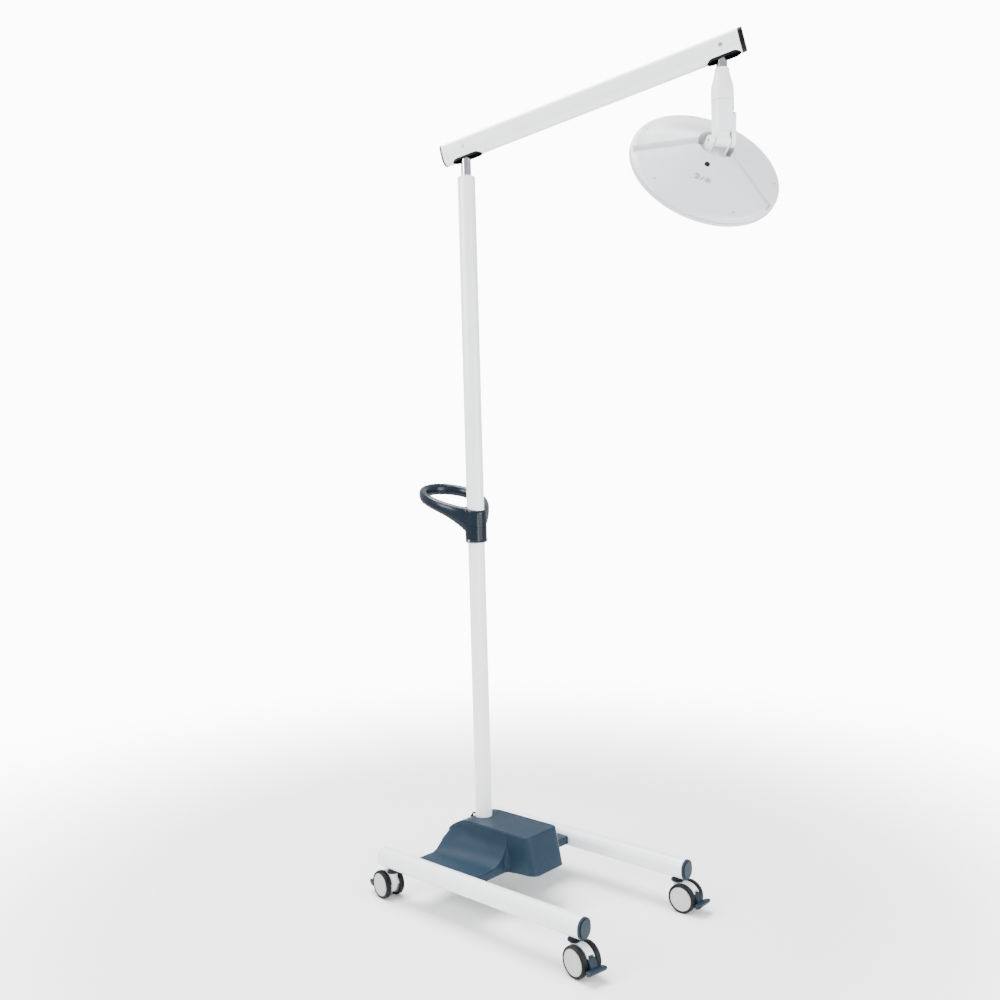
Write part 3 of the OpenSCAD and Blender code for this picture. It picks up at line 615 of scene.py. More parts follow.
class Workshop:
    """Holds the frame and the finishes, and signs each piece off."""

    def __init__(self, frame: dict) -> None:
        """Keeps the frame and builds every finish.
        """
        self.frame = frame
        self.nodes: dict[str, bpy.types.Object] = frame["nodes"]
        self.joints = {joint["name"]: joint for joint in frame["joints"]}
        groups = ShaderGroups()
        self.materials = {f.slot: f.material(groups) for f in FINISHES}
        self.count = 0

    def joint_place(self, name: str) -> Vector:
        """Place of a joint's axis, in metres."""
        return Vector(self.joints[name]["pos_m"])

    def joint_axis(self, name: str) -> Vector:
        """Unit axis of a joint."""
        return Vector(self.joints[name]["axis"]).normalized()

    def dress_nodes(self) -> None:
        """Gives every CAD node the finish that its record slot names."""
        for row in self.frame["record"]["subparts"]:
            node = self.nodes[row["node"]]
            node.data.materials.clear()
            node.data.materials.append(self.materials[row["material_slot"]])
        LOG.info("dressed %d frame nodes", len(self.nodes))

    def sign_off(self, obj: bpy.types.Object, body: str, slot: str, *stands_for: str) -> bpy.types.Object:
        """Dresses a finished piece and fixes it to its body.

        Args:
            obj: The finished mesh.
            body: The frame body that it rides on.
            slot: The record's material slot for its finish.
            stands_for: Frame nodes that it replaces.

        Returns:
            The same object.
        """
        obj.data.materials.clear()
        obj.data.materials.append(self.materials[slot])
        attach(obj, body)
        if stands_for:
            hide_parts(*stands_for)
        self.count += 1
        LOG.info("piece %-28s on %-20s %6d faces", obj.name, body, len(obj.data.polygons))
        return obj

    def rounded_node(self, node: str, name: str, width: float, segments: int = 2) -> bpy.types.Object:
        """A merged copy of a frame node with its sharp edges rounded.

        Args:
            node: The frame node to copy.
            name: Name of the copy.
            width: Width of the rounding in millimetres.
            segments: Steps of the rounding.

        Returns:
            The copy, ready to sign off.
        """
        obj = Bench.copy(self.nodes[node], name)
        Bench.edit(obj)
        bpy.ops.mesh.customdata_custom_splitnormals_clear()
        bpy.ops.mesh.select_all(action="SELECT")
        bpy.ops.mesh.remove_doubles(threshold=2e-6)
        bpy.ops.mesh.dissolve_limited(angle_limit=math.radians(0.6))
        Bench.clear()
        Bench.soften(obj, width, 38, segments)
        Bench.shade(obj, 35)
        return obj


# ---------------------------------------------------------------- studio


@dataclass
class Studio:
    """Camera, floor and soft lights.

    Attributes:
        eye: Place of the camera in millimetres.
        right: Unit vector to the camera's right.
        up: Unit vector to the top of its frame.
        ahead: Unit vector along its view.
        lens: Focal length on a 36 mm wide frame.
        backdrop: Brightness of the white background.
        ambience: Strength of the soft light from all round.
        fade_start: Distance from the lamp where the floor starts to melt into the background, in metres.
        fade_end: Distance where it is all background.
    """

    eye: Point3 = (1680.39, -1738.71, 1005.94)
    right: Point3 = (0.73625353, 0.67616283, -0.02710282)
    up: Point3 = (0.00197344, 0.03790557, 0.99927938)
    ahead: Point3 = (-0.67670292, 0.73577646, -0.02657374)
    lens: float = 36.0
    backdrop: float = 12.0
    ambience: float = 1.1
    fade_start: float = 0.75
    fade_end: float = 2.6

    def camera(self) -> None:
        """Adds the camera and makes it the scene's own."""
        bpy.ops.object.camera_add()
        camera = bpy.context.object
        camera.name = "studio_camera"
        camera.data.sensor_width = 36.0
        camera.data.lens = self.lens
        camera.data.clip_end = 60
        camera.data.dof.use_dof = False
        camera.matrix_world = axes(
            Vector(self.eye) * MM, Vector(self.right), Vector(self.up), -Vector(self.ahead))
        bpy.context.scene.camera = camera

    def floor(self) -> None:
        """Adds the plain pale floor, which melts into the white background far from the lamp."""
        bpy.ops.mesh.primitive_plane_add(size=60)
        floor = bpy.context.object
        floor.name = "studio_floor"
        made = bpy.data.materials.new("studio_floor")
        made.use_nodes = True
        nodes, link = made.node_tree.nodes, made.node_tree.links.new
        shader = nodes["Principled BSDF"]
        shader.inputs["Base Color"].default_value = (0.88, 0.88, 0.875, 1)
        shader.inputs["Roughness"].default_value = 0.75
        place = nodes.new("ShaderNodeTexCoord")
        reach = nodes.new("ShaderNodeVectorMath")
        reach.operation = "LENGTH"
        fade = nodes.new("ShaderNodeMapRange")
        fade.interpolation_type = "SMOOTHSTEP"
        fade.inputs["From Min"].default_value = self.fade_start
        fade.inputs["From Max"].default_value = self.fade_end
        glow = nodes.new("ShaderNodeEmission")
        glow.inputs["Strength"].default_value = self.backdrop
        mix = nodes.new("ShaderNodeMixShader")
        path = nodes.new("ShaderNodeLightPath")
        seen = nodes.new("ShaderNodeMath")
        seen.operation = "MULTIPLY"
        link(place.outputs["Object"], reach.inputs[0])
        link(reach.outputs["Value"], fade.inputs["Value"])
        link(fade.outputs["Result"], seen.inputs[0])
        link(path.outputs["Is Camera Ray"], seen.inputs[1])
        link(seen.outputs["Value"], mix.inputs[0])
        link(shader.outputs["BSDF"], mix.inputs[1])
        link(glow.outputs["Emission"], mix.inputs[2])
        link(mix.outputs["Shader"], nodes["Material Output"].inputs["Surface"])
        floor.data.materials.append(made)

    def sky(self) -> None:
        """Sets a white background with a dimmer, soft light of its own."""
        world = bpy.data.worlds.new("studio_world")
        world.use_nodes = True
        nodes, link = world.node_tree.nodes, world.node_tree.links.new
        dim = nodes["Background"]
        dim.inputs["Color"].default_value = (0.93, 0.96, 1.0, 1)
        dim.inputs["Strength"].default_value = self.ambience
        bright = nodes.new("ShaderNodeBackground")
        bright.inputs["Color"].default_value = (1, 1, 1, 1)
        bright.inputs["Strength"].default_value = self.backdrop
        path = nodes.new("ShaderNodeLightPath")
        mix = nodes.new("ShaderNodeMixShader")
        link(path.outputs["Is Camera Ray"], mix.inputs[0])
        link(dim.outputs["Background"], mix.inputs[1])
        link(bright.outputs["Background"], mix.inputs[2])
        link(mix.outputs["Shader"], nodes["World Output"].inputs["Surface"])
        bpy.context.scene.world = world

    @staticmethod
    def softbox(name: str, place: Point3, target: Point3, size: float, power: float) -> None:
        """Adds a square soft light that faces a point.

        Args:
            name: Name of the light.
            place: Its place in metres.
            target: The point that it faces.
            size: Its side in metres.
            power: Its power in watts.
        """
        bpy.ops.object.light_add(type="AREA", location=place)
        light = bpy.context.object
        light.name = name
        light.data.size = size
        light.data.energy = power
        aim = Vector(target) - Vector(place)
        light.rotation_euler = aim.to_track_quat("-Z", "Y").to_euler()

    def build(self) -> None:
        """Sets up the whole studio."""
        self.camera()
        self.floor()
        self.sky()
        self.softbox("overhead", (-0.9, -0.1, 4.0), (0.1, 0, 0.4), 2.4, 420)
        self.softbox("key_left", (-1.2, -3.2, 2.4), (0.1, 0, 1.1), 1.6, 170)
        self.softbox("front_fill", (3.4, 0.4, 1.6), (0.1, 0, 0.8), 1.8, 130)
        self.softbox("low_fill", (2.6, -1.0, 0.5), (0.5, 0.2, 1.7), 0.8, 34)
        LOG.info("studio ready")


# ---------------------------------------------------------------- base


@dataclass
class BaseCover:
    """Moulded cover over the chassis: a centre box with a skirt swept out to each leg."""

    half_width: float = 55.0
    top: float = 175.0
    front: float = 188.0
    draft: float = 20.0
    back: float = -73.0
    corner: float = 16.0
    rear_corner: float = 9.0
    edge: float = 4.0
    skirt_x0: float = -64.0
    skirt_x1: float = 124.0
    skirt_reach: float = 114.7
    skirt_top: float = 103.0
    sweep: float = 60.0
    bottom: float = 84.0
    front_bottom: float = 90.0
    roll_x: float = 10.0
    roll_r: float = 118.0
    fillet: float = 13.0
    lip: float = 1.6
    rear_fill: float = 0.6
    fill_start: float = 70.0
    fill_span: float = 134.0
    wall: float = 2.6

    def levels(self) -> list[tuple[float, float, float, Point2]]:
        """Rows from the bottom edge to the top: height, skirt offset, top inset and outward normal."""
        high = self.skirt_top + self.sweep
        rows = [(self.bottom, self.skirt_reach, 0.0, (1.0, 0.0)),
                (self.skirt_top - 1.5, self.skirt_reach, 0.0, (1.0, 0.2)),
                (self.skirt_top, self.skirt_reach - 1.5, 0.0, (0.2, 1.0))]
        for k in range(15):
            turn = math.radians(90 * k / 14)
            rows.append((high - self.sweep * math.cos(turn), self.sweep * (1 - math.sin(turn)), 0.0,
                         (math.sin(turn), math.cos(turn))))
        for k in range(6):
            turn = math.radians(90 * k / 5)
            rows.append((self.top - self.edge * (1 - math.sin(turn)), 0.0,
                         self.edge * (1 - math.cos(turn)), (1.0, 0.0)))
        return rows

    def stations(self) -> list[tuple[str, float]]:
        """Columns round half the plan, from the middle of the front to the middle of the back."""
        made = [("front", 0.0), ("front", 0.5)]
        made += [("corner", a) for a in range(0, 91, 10)]
        made += [("plain", 160.0), ("plain", 148.0)]
        made += [("fillet", float(a)) for a in range(0, 91, 15)]
        made += [("lip", a) for a in (0.0, 30.0, 60.0)]
        made += [("skirt", x) for x in (122.4, 110, 90, 70, 50, 30, 10, 4, -2, -8, -14, -20, -26,
                                        -32, -38, -44, -50, -56, -62.4)]
        made += [("rear_lip", a) for a in (60.0, 30.0, 0.0)]
        made += [("rear", a) for a in range(90, 181, 15)]
        return made + [("back", 0.0)]

    def spot(self, station: tuple[str, float], level: tuple[float, float, float, Point2]) -> Point3:
        """Place of one vertex on the positive side.

        Args:
            station: The column's kind and its distance or angle.
            level: The row's height, skirt offset, inset and normal.

        Returns:
            The vertex in millimetres.
        """
        kind, value = station
        z, reach, inset, normal = level
        if kind in ("skirt", "rear_lip") and self.skirt_top < z and reach > 0:
            behind = self.fill_start - value if kind == "skirt" else self.fill_span
            fill = self.rear_fill * min(1.0, max(0.0, behind / self.fill_span)) ** 1.5
            chord = self.sweep - (z - self.skirt_top)
            reach += fill * max(0.0, chord - reach)
        turn = math.radians(value)
        side = self.half_width - inset
        if kind == "front":
            x, y = self.front - inset, value * (self.half_width - self.corner) * 2 * value
        elif kind == "corner":
            r = self.corner - inset
            x = self.front - self.corner + r * math.cos(turn)
            y = self.half_width - self.corner + r * math.sin(turn)
        elif kind == "plain":
            x, y = value, side
        elif kind == "fillet":
            r = min(self.fillet, reach * 0.8)
            x, y = self.skirt_x1 + r * (1 - math.sin(turn)), side + r * (1 - math.cos(turn))
        elif kind in ("lip", "rear_lip"):
            depth = self.lip * (1 - math.sin(turn))
            step = self.lip * (1 - math.cos(turn))
            x = self.skirt_x1 - step if kind == "lip" else self.skirt_x0 + step
            length = math.hypot(*normal)
            y = side + max(0.0, reach - depth * normal[0] / length)
            z -= depth * normal[1] / length if reach > 0.5 and z > self.bottom else 0.0
        elif kind == "skirt":
            x, y = value, side + reach
        elif kind == "rear":
            r = self.rear_corner - inset
            x = self.back + self.rear_corner + r * math.cos(turn)
            y = self.half_width - self.rear_corner + r * math.sin(turn)
        else:
            x, y = self.back + inset, 0.0
        if level[0] == self.bottom and kind in ("front", "corner", "plain"):
            z += (self.front_bottom - self.bottom) * min(1.0, max(0.0, (x - 124) / 62))
        if x > self.skirt_x1 and kind != "fillet":
            lean = self.draft * (self.top - z) / (self.top - self.front_bottom)
            nose = self.front - self.skirt_x1
            x = self.skirt_x1 + (x - self.skirt_x1) * (self.front + lean - self.skirt_x1) / nose
        if x < self.roll_x and z > 128:
            drop = self.top - self.roll_r + math.sqrt(self.roll_r ** 2 - (x - self.roll_x) ** 2)
            z = 128 + (z - 128) * (drop - 128) / (self.top - 128)
        return x, y, z

    def build(self, shop: Workshop) -> None:
        """Models the cover, opens it for the mast, inlet and lead, and signs it off."""
        levels, stations = self.levels(), self.stations()
        rows = len(levels)

        def place(column: int, row: int) -> Point3:
            """One vertex, mirrored on the far half of a column."""
            x, y, z = self.spot(stations[column], levels[row if row < rows else 2 * rows - 1 - row])
            return (x, y, z) if row < rows else (x, -y, z)

        shell = Bench.sheet("base_cover_shell", len(stations), 2 * rows, place)
        Bench.use(shell, "SOLIDIFY", thickness=self.wall * MM, offset=-1.0, use_rim=True,
                use_even_offset=False)
        Bench.combine(shell, Bench.rod("mast_hole", 20.5, 120, 200), Cut.TAKE_AWAY)
        lead = Bench.rod("lead_hole", 4.1, 120, 200, 32)
        Bench.place(lead, Matrix.Translation((-0.041, 0, 0)))
        Bench.combine(shell, lead, Cut.TAKE_AWAY)
        Bench.combine(shell, Bench.block("inlet_hole", (-72, 0, 114.5), (12, 48.6, 28.6)), Cut.TAKE_AWAY)
        Bench.shade(shell, 38)
        shop.sign_off(shell, "base", "navy_shell", "base_cover")


@dataclass
class LegCaps:
    """Oval end caps of the legs, with a raised face inside a thick rim."""

    width: float = 40.0
    height: float = 46.0
    rim: float = 3.6
    thickness: float = 4.4
    full: float = 7.0

    def oval(self, inset: float = 0.0, steps: int = 24) -> list[Point2]:
        """Outline of the leg, moved in by a distance."""
        r, h = self.width / 2 - inset, (self.height - self.width) / 2
        return arc((0, h), r, 0, 180, steps) + arc((0, -h), r, 180, 360, steps)

    def build(self, shop: Workshop) -> None:
        """Models both front caps."""
        low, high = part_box("front_leg_caps")
        for side, name in ((1, "left"), (-1, "right")):
            cap = Bench.prism(f"front_cap_{name}", self.oval(), 0, self.thickness)
            Bench.edit(cap)
            top = self.thickness * MM
            Bench.choose(cap, Element.FACE, lambda f: f.normal.z > 0.9)
            bpy.ops.mesh.inset(thickness=self.rim * MM)
            bpy.ops.mesh.extrude_region_move(TRANSFORM_OT_translate={"value": (0, 0, -0.8 * MM)})
            bpy.ops.mesh.inset(thickness=0.5 * MM)
            bpy.ops.mesh.extrude_region_move(
                TRANSFORM_OT_translate={"value": (0, 0, (self.full - self.thickness + 0.8) * MM)})
            Bench.clear()
            Bench.soften(cap, 1.1, 50, 3)
            Bench.shade(cap, 40)
            middle = low.y + self.width / 2 * MM if side < 0 else high.y - self.width / 2 * MM
            Bench.place(cap, axes(
                Vector((high.x - self.full * MM, middle, (low.z + high.z) / 2)),
                Vector((0, 1, 0)), Vector((0, 0, 1)), Vector((1, 0, 0))))
            shop.sign_off(cap, "base", "navy_cap", "front_leg_caps")


@dataclass
class TwinCastor:
    """A twin-wheel castor with its brake pedal, modelled round its stem with X towards the wheels."""

    wheel_r: float = 32.5
    width: float = 52.0
    trail: float = 22.0
    disc_r: float = 26.6
    inner: float = 11.0
    pivot: Point2 = (46.0, 40.5)

    def tyre(self) -> bpy.types.Object:
        """One tyre, spun round Z with its outer side up."""
        r, w = self.wheel_r, self.width / 2
        profile = [(self.disc_r + 0.1, self.inner + 0.6), (r - 3, self.inner + 0.6)]
        profile += arc((r - 2.6, self.inner + 3.2), 2.5, -90, 0, 5)
        profile += [(r - 0.02, self.inner + 5), (r - 0.02, w - 5.2)]
        profile += arc((r - 3.6, w - 4.2), 3.5, 5, 82, 7)
        profile += [(self.disc_r + 1.2, w - 0.7), (self.disc_r + 0.5, w - 1.2), (self.disc_r + 0.1, w - 2.4)]
        return Bench.lathe("tyre", profile, 96, True)

    def disc(self) -> bpy.types.Object:
        """One wheel disc with faint rings and a hub cap, spun round Z."""
        w, r = self.width / 2, self.disc_r
        profile = [(0, w - 1.9), (5.2, w - 1.9), (5.8, w - 1.5), (6.6, w - 1.2), (8.2, w - 1.2),
                (8.8, w - 1.7),
                   (13.2, w - 1.9), (13.7, w - 1.5), (14.6, w - 1.4), (15.1, w - 1.9),
                   (20.4, w - 2.1), (20.9, w - 1.7), (21.8, w - 1.6), (22.3, w - 2.0),
                   (r - 2.6, w - 1.8), (r - 1.6, w - 1.1), (r - 0.8, w - 1.0), (r - 0.2, w - 1.6),
                   (r, w - 2.6), (r, self.inner + 1.5), (r - 3, self.inner + 1.5), (r - 3, w - 5),
                   (8, w - 5), (8, self.inner - 0.8), (0, self.inner - 0.8)]
        return Bench.lathe("disc", profile, 96)

    def collar(self) -> bpy.types.Object:
        """The stem with its two-step collar, upright."""
        profile = [(0, 50), (5, 50), (5, 62.6), (10.5, 62.6), (13, 63.0), (14, 63.9), (14, 66.2),
                (13.2, 67.2),
                   (11.4, 67.5), (11, 68), (11, 70), (10.6, 70.6), (5, 70.7), (5, 83), (0, 83)]
        return Bench.lathe("collar", profile, 64)

    def pedal(self) -> bpy.types.Object:
        """The brake pedal: a panel between the wheels, a wide tread bar and two feet."""
        px, pz = self.pivot
        side = Matrix.Rotation(math.radians(90), 4, "X")
        hinge = Bench.prism("pedal", [
            (px - 3.4, pz + 1), (px - 1, pz + 4), (px + 4, pz + 3.6), (px + 4, pz - 8), (px - 1, pz - 6)],
            -7.1, 7.1)
        Bench.soften(hinge, 0.9, 50, 2)
        panel = Bench.prism("panel", [
            (px + 1.5, pz + 5.8), (px + 4.6, pz + 5.2), (px + 9.4, pz - 1.6), (px + 13.4, pz - 9),
            (px + 14.8, pz - 14),
            (px + 14.6, pz - 20), (px + 5, pz - 24), (px + 2.2, pz - 18), (px + 1.5, pz - 6)], -10.3, 10.3)
        Bench.soften(panel, 1.4, 50, 3)
        bar = Bench.prism("tread", [
            (px + 11, pz - 12.5), (px + 17, pz - 10.6), (px + 24, pz - 9.2), (px + 26.8, pz - 10),
            (px + 27.6, pz - 13),
            (px + 26, pz - 17.4), (px + 20, pz - 21.6), (px + 12, pz - 23.4)], -21.8, 21.8)
        Bench.soften(bar, 2.4, 30, 3)
        feet = [Bench.prism("foot", [(px + 3, pz - 21), (px + 12, pz - 19.5), (px + 11.4, pz - 27.6),
                (px + 5, pz - 28)],
                            s * 4 - 2.1, s * 4 + 2.1) for s in (-1, 1)]
        for foot in feet:
            Bench.soften(foot, 0.8, 40, 2)
        made = Bench.join(hinge, panel, bar, *feet)
        Bench.place(made, side)
        return made

    def pad(self) -> bpy.types.Object:
        """The stepped pad let into the pedal's panel."""
        px, pz = self.pivot
        pad = Bench.block("pad", (0, 0, 0), (14.5, 13.4, 1.6))
        Bench.edit(pad)
        Bench.choose(pad, Element.FACE, lambda f: f.normal.z > 0.9)
        bpy.ops.mesh.inset(thickness=1.2 * MM)
        bpy.ops.mesh.extrude_region_move(TRANSFORM_OT_translate={"value": (0, 0, -0.5 * MM)})
        Bench.clear()
        Bench.soften(pad, 0.3, 40, 2)
        lean = math.radians(58)
        Bench.place(pad, axes(
            Vector((px + 10.1, 0, pz - 4.0)) * MM, Vector((-math.cos(lean), 0, math.sin(lean))),
            Vector((0, 1, 0)) * -1, Vector((math.sin(lean), 0, math.cos(lean)))))
        return pad

    def build(self, shop: Workshop) -> None:
        """Copies the modelled parts to all four castors."""
        models = {"tyre": self.tyre(), "disc": self.disc(), "collar": self.collar(),
                  "pedal": self.pedal(), "pad": self.pad()}
        for part in models.values():
            Bench.shade(part, 34)
        for castor in Castor:
            key = castor.value
            stem = shop.joint_place("castor_swivel_" + key)
            across = shop.joint_axis("wheel_roll_" + key)
            ahead = across.cross(Vector((0, 0, 1)))
            base = axes(Vector((stem.x, stem.y, 0)), ahead, across, Vector((0, 0, 1)))
            hub = Matrix.Translation(Vector((self.trail, 0, self.wheel_r)) * MM)
            for part, slot, node in (("tyre", "tyre_black", "castor_tyres_"),
                    ("disc", "castor_disc", "castor_discs_")):
                for name, angle in (("outer", -90), ("inner", 90)):
                    wheel = Bench.copy(models[part], f"{part}_{name}_{key}")
                    Bench.place(wheel, base @ hub @ Matrix.Rotation(math.radians(angle), 4, "X"))
                    shop.sign_off(wheel, "wheels_" + key, slot, node + key)
            collar = Bench.copy(models["collar"], "collar_" + key)
            Bench.place(collar, base)
            shop.sign_off(collar, "base", "castor_stem", "castor_stems")
            pedal = Bench.copy(models["pedal"], "pedal_" + key)
            Bench.place(pedal, base)
            shop.sign_off(pedal, "pedal_" + key, "pedal_navy", "castor_pedal_" + key)
            pad = Bench.copy(models["pad"], "pedal_pad_" + key)
            Bench.place(pad, base)
            shop.sign_off(pad, "pedal_" + key, "navy_cap")
            housing = shop.rounded_node("castor_housing_" + key, "housing_" + key, 0.8)
            shop.sign_off(housing, "castor_" + key, "castor_grey", "castor_housing_" + key)
        for part in models.values():
            bpy.data.objects.remove(part)


# ---------------------------------------------------------------- mast


@dataclass
class PushHandle:
    """Two-shell push handle: an egg-shaped loop that grows deeper into its clamp."""

    reach: float = 212.0
    half_width: float = 92.0
    taper: float = 0.34
    slope: float = 16.5
    turn: float = -18.0
    top: float = 924.0
    rail: float = 10.0
    height: float = 28.0
    root: float = 46.0
    root_length: float = 25.0
    clamp_r: float = 26.3
    clamp_low: float = 840.2
    clamp_high: float = 933.0
    joint: float = 886.0
    voxel: float = 1.5
    dimple_r: float = 2.4
    dimple_angle: float = 262.0
    dimple_z: float = 908.0
    parting: tuple[Point2, ...] = (
        (90, 877), (27, 877), (12, 882), (-33, 911), (-70, 930), (-120, 947), (-200, 969), (-260, 985))

    def rail_point(self, turn: float, around: float) -> Point3:
        """Place on the loop's skin.

        Args:
            turn: Angle along the loop, in radians.
            around: Angle round the rail's section.

        Returns:
            The point in the handle's own directions.
        """
        a = (self.reach - self.rail) / 2
        b = self.half_width - self.rail

        def line(angle: float) -> Point2:
            """Middle of the rail, seen from above."""
            narrow = 1 - self.taper * ((1 + math.cos(angle)) / 2) ** 1.3
            return -a + a * math.cos(angle), b * narrow * math.sin(angle)

        x, y = line(turn)
        before, after = line(turn - 0.02), line(turn + 0.02)
        nx, ny = after[1] - before[1], before[0] - after[0]
        length = math.hypot(nx, ny)
        deep = self.height / 2 + self.root * math.exp(min(0.0, x) / self.root_length)
        c, s = math.cos(around), math.sin(around)
        out = self.rail * math.copysign(abs(c) ** 0.72, c)
        rise = (self.height / 2 if s > 0 else deep) * math.copysign(abs(s) ** 0.8, s)
        px, py = x + nx / length * out, y + ny / length * out
        return px, py, self.top - self.height / 2 - px * math.tan(math.radians(self.slope)) + rise

    def solid(self) -> bpy.types.Object:
        """The whole handle as one flowing solid, before it is parted."""
        long, round_ = 132, 28
        loop = Bench.sheet("handle", long + 1, round_ + 1, lambda i, j: self.rail_point(
            math.tau * i / long, math.tau * j / round_))
        clamp = Bench.rod("clamp", self.clamp_r, self.clamp_low, self.clamp_high, 96)
        Bench.edit(clamp)
        bpy.ops.mesh.select_all(action="SELECT")
        lean = math.tan(math.radians(self.slope))
        bpy.ops.mesh.bisect(plane_co=Vector((0, 0, self.top)) * MM,
                plane_no=Vector((lean, 0, 1)).normalized(),
                            use_fill=True, clear_outer=True)
        Bench.clear()
        Bench.soften(clamp, 3.0, 50, 3)
        made = Bench.join(loop, clamp)
        Bench.use(made, "REMESH", mode="VOXEL", voxel_size=self.voxel * MM, adaptivity=0.0)
        Bench.use(made, "SMOOTH", factor=0.5, iterations=24)
        return made

    def build(self, shop: Workshop) -> None:
        """Parts the handle into its two shells and adds the clamp's dimple."""
        whole = self.solid()
        Bench.combine(whole, Bench.rod("bore_low", 20.1, self.clamp_low - 30, self.joint, 96), Cut.TAKE_AWAY)
        Bench.combine(whole, Bench.rod("bore_high", 21.1, self.joint, self.clamp_high + 60, 96),
                Cut.TAKE_AWAY)
        upright = Matrix.Rotation(math.radians(90), 4, "X")
        turned = Matrix.Rotation(math.radians(self.turn), 4, "Z")
        for name, limit, lift, node in (("handle_upper", 1100.0, 0.25, "handle_upper_shell"),
                                        ("handle_lower", 700.0, -0.25, "handle_lower_shell")):
            shell = Bench.copy(whole, name)
            line = [(x, z + lift) for x, z in self.parting]
            keep = Bench.prism("parting", line + [(line[-1][0], limit), (line[0][0], limit)], -140, 140)
            Bench.place(keep, upright)
            Bench.combine(shell, keep, Cut.KEEP_COMMON)
            Bench.place(shell, turned)
            Bench.pick(shell)
            bpy.ops.object.shade_smooth_by_angle(angle=math.radians(55))
            shop.sign_off(shell, "base", "navy_handle", node)
        bpy.data.objects.remove(whole)
        self.fittings(shop)

    def fittings(self, shop: Workshop) -> None:
        """The moulded dimple near the top of the clamp, as a black disc whose colour is painted shade of the
        hollow.
        """
        r = self.dimple_r
        profile = [(0, -1.5), (r, -1.5), (r, 0.3), (r - 0.6, 0.8), (1.3, 0.9), (1.2, 0.2), (0, 0.2)]
        dimple = Bench.lathe("clamp_dimple", profile, 32)
        Bench.shade(dimple, 30)
        turn = Matrix.Rotation(math.radians(self.dimple_angle), 4, "Z")
        out = turn @ Vector((1, 0, 0))
        side = turn @ Vector((0, 1, 0))
        place = out * (self.clamp_r - 0.1) * MM + Vector((0, 0, self.dimple_z * MM))
        Bench.place(dimple, axes(place, side, Vector((0, 0, 1)), out))
        # black, darker than the navy handle: painted shade in the dimple's hollow
        shop.sign_off(dimple, "base", "arm_black")


@dataclass
class Mast:
    """Details of the mast: its rounded top bush."""

    radius: float = 21.0
    top: float = 1718.0
    post_r: float = 12.05

    def build(self, shop: Workshop) -> None:
        """Models the top bush with a rounded shoulder."""
        r, top = self.radius, self.top
        profile = [(self.post_r, top - 70), (r - 2.1, top - 70), (r - 2.1, top - 3), (r - 0.02, top - 3)]
        profile += arc((r - 2.2, top - 2.2), 2.18, 0, 90, 6)
        profile += [(self.post_r + 1, top), (self.post_r, top - 0.8)]
        bush = Bench.lathe("mast_top_bush", profile, 96, True)
        Bench.shade(bush, 40)
        shop.sign_off(bush, "base", "white_plastic", "mast_bush")


# ---------------------------------------------------------------- arm and suspension


@dataclass
class LampArm:
    """Details of the level-keeping arm: its rounded end caps and the sleeves in its slots."""

    back: float = 55.0
    front: float = 46.0
    length: float = 622.0
    width: float = 36.0
    height: float = 51.0
    corner: float = 14.0
    slot_half_w: float = 14.2
    slot_half_l: float = 38.0
    liner: float = 15.5

    def frame(self, shop: Workshop) -> Matrix:
        """Place of the arm's inner pivot, with X along the arm."""
        start, end = shop.joint_place("arm_lift"), shop.joint_place("drop_level")
        x = (end - start).normalized()
        y = -shop.joint_axis("arm_lift")
        return axes(start, x, y, x.cross(y))

    def outline(self, inset: float = 0.0) -> list[Point2]:
        """Rounded section of the arm."""
        r = self.corner - inset
        w, h = self.width / 2 - self.corner, self.height / 2 - self.corner
        made: list[Point2] = []
        for sx, sy, start in ((1, 1, 0), (-1, 1, 90), (-1, -1, 180), (1, -1, 270)):
            made += arc((sx * w, sy * h), r, start, start + 90, 10)
        return made

    def build(self, shop: Workshop) -> None:
        """Models both end caps and lines the slots."""
        place = self.frame(shop)
        ends = (("inner", -self.back, -1, 0.4), ("outer", self.length + self.front, 1, 5.5))
        for name, x, turn, wrap in ends:
            cap = Bench.prism(f"arm_cap_{name}", self.outline(-0.35), -wrap, 4.4)
            Bench.bevel(cap, 2.0, lambda e: min(v.co.z for v in e.verts) > 4.3 * MM, 4)
            Bench.shade(cap, 40)
            Bench.place(cap, place @ axes(
                Vector((x * MM, 0, 0)), Vector((0, turn, 0)), Vector((0, 0, 1)), Vector((turn, 0, 0))))
            shop.sign_off(cap, "arm", "arm_black", "arm_end_caps")
        self.slots(shop, place)

    def slots(self, shop: Workshop, place: Matrix) -> None:
        """Lines both slots under the arm with a tall dark sleeve.

        Args:
            shop: The workshop.
            place: The arm's placing matrix.
        """
        for name, x in (("inner", 0.0), ("outer", self.length)):
            def oval(inset: float) -> list[Point2]:
                """Outline of the slot, drawn in by the inset."""
                r, half = self.slot_half_w - inset, self.slot_half_l - self.slot_half_w
                return arc((half, 0), r, -90, 90, 20) + arc((-half, 0), r, 90, 270, 20)
            low = -self.height / 2 - 0.4
            liner = Bench.prism(f"slot_liner_{name}", oval(0.1), low, low + self.liner)
            Bench.combine(liner, Bench.prism("inside", oval(1.3), low - 5, low + self.liner + 5),
                    Cut.TAKE_AWAY)
            Bench.shade(liner, 40)
            Bench.place(liner, place @ Matrix.Translation((x * MM, 0, 0)))
            shop.sign_off(liner, "arm", "arm_black", "arm_slot_liners")


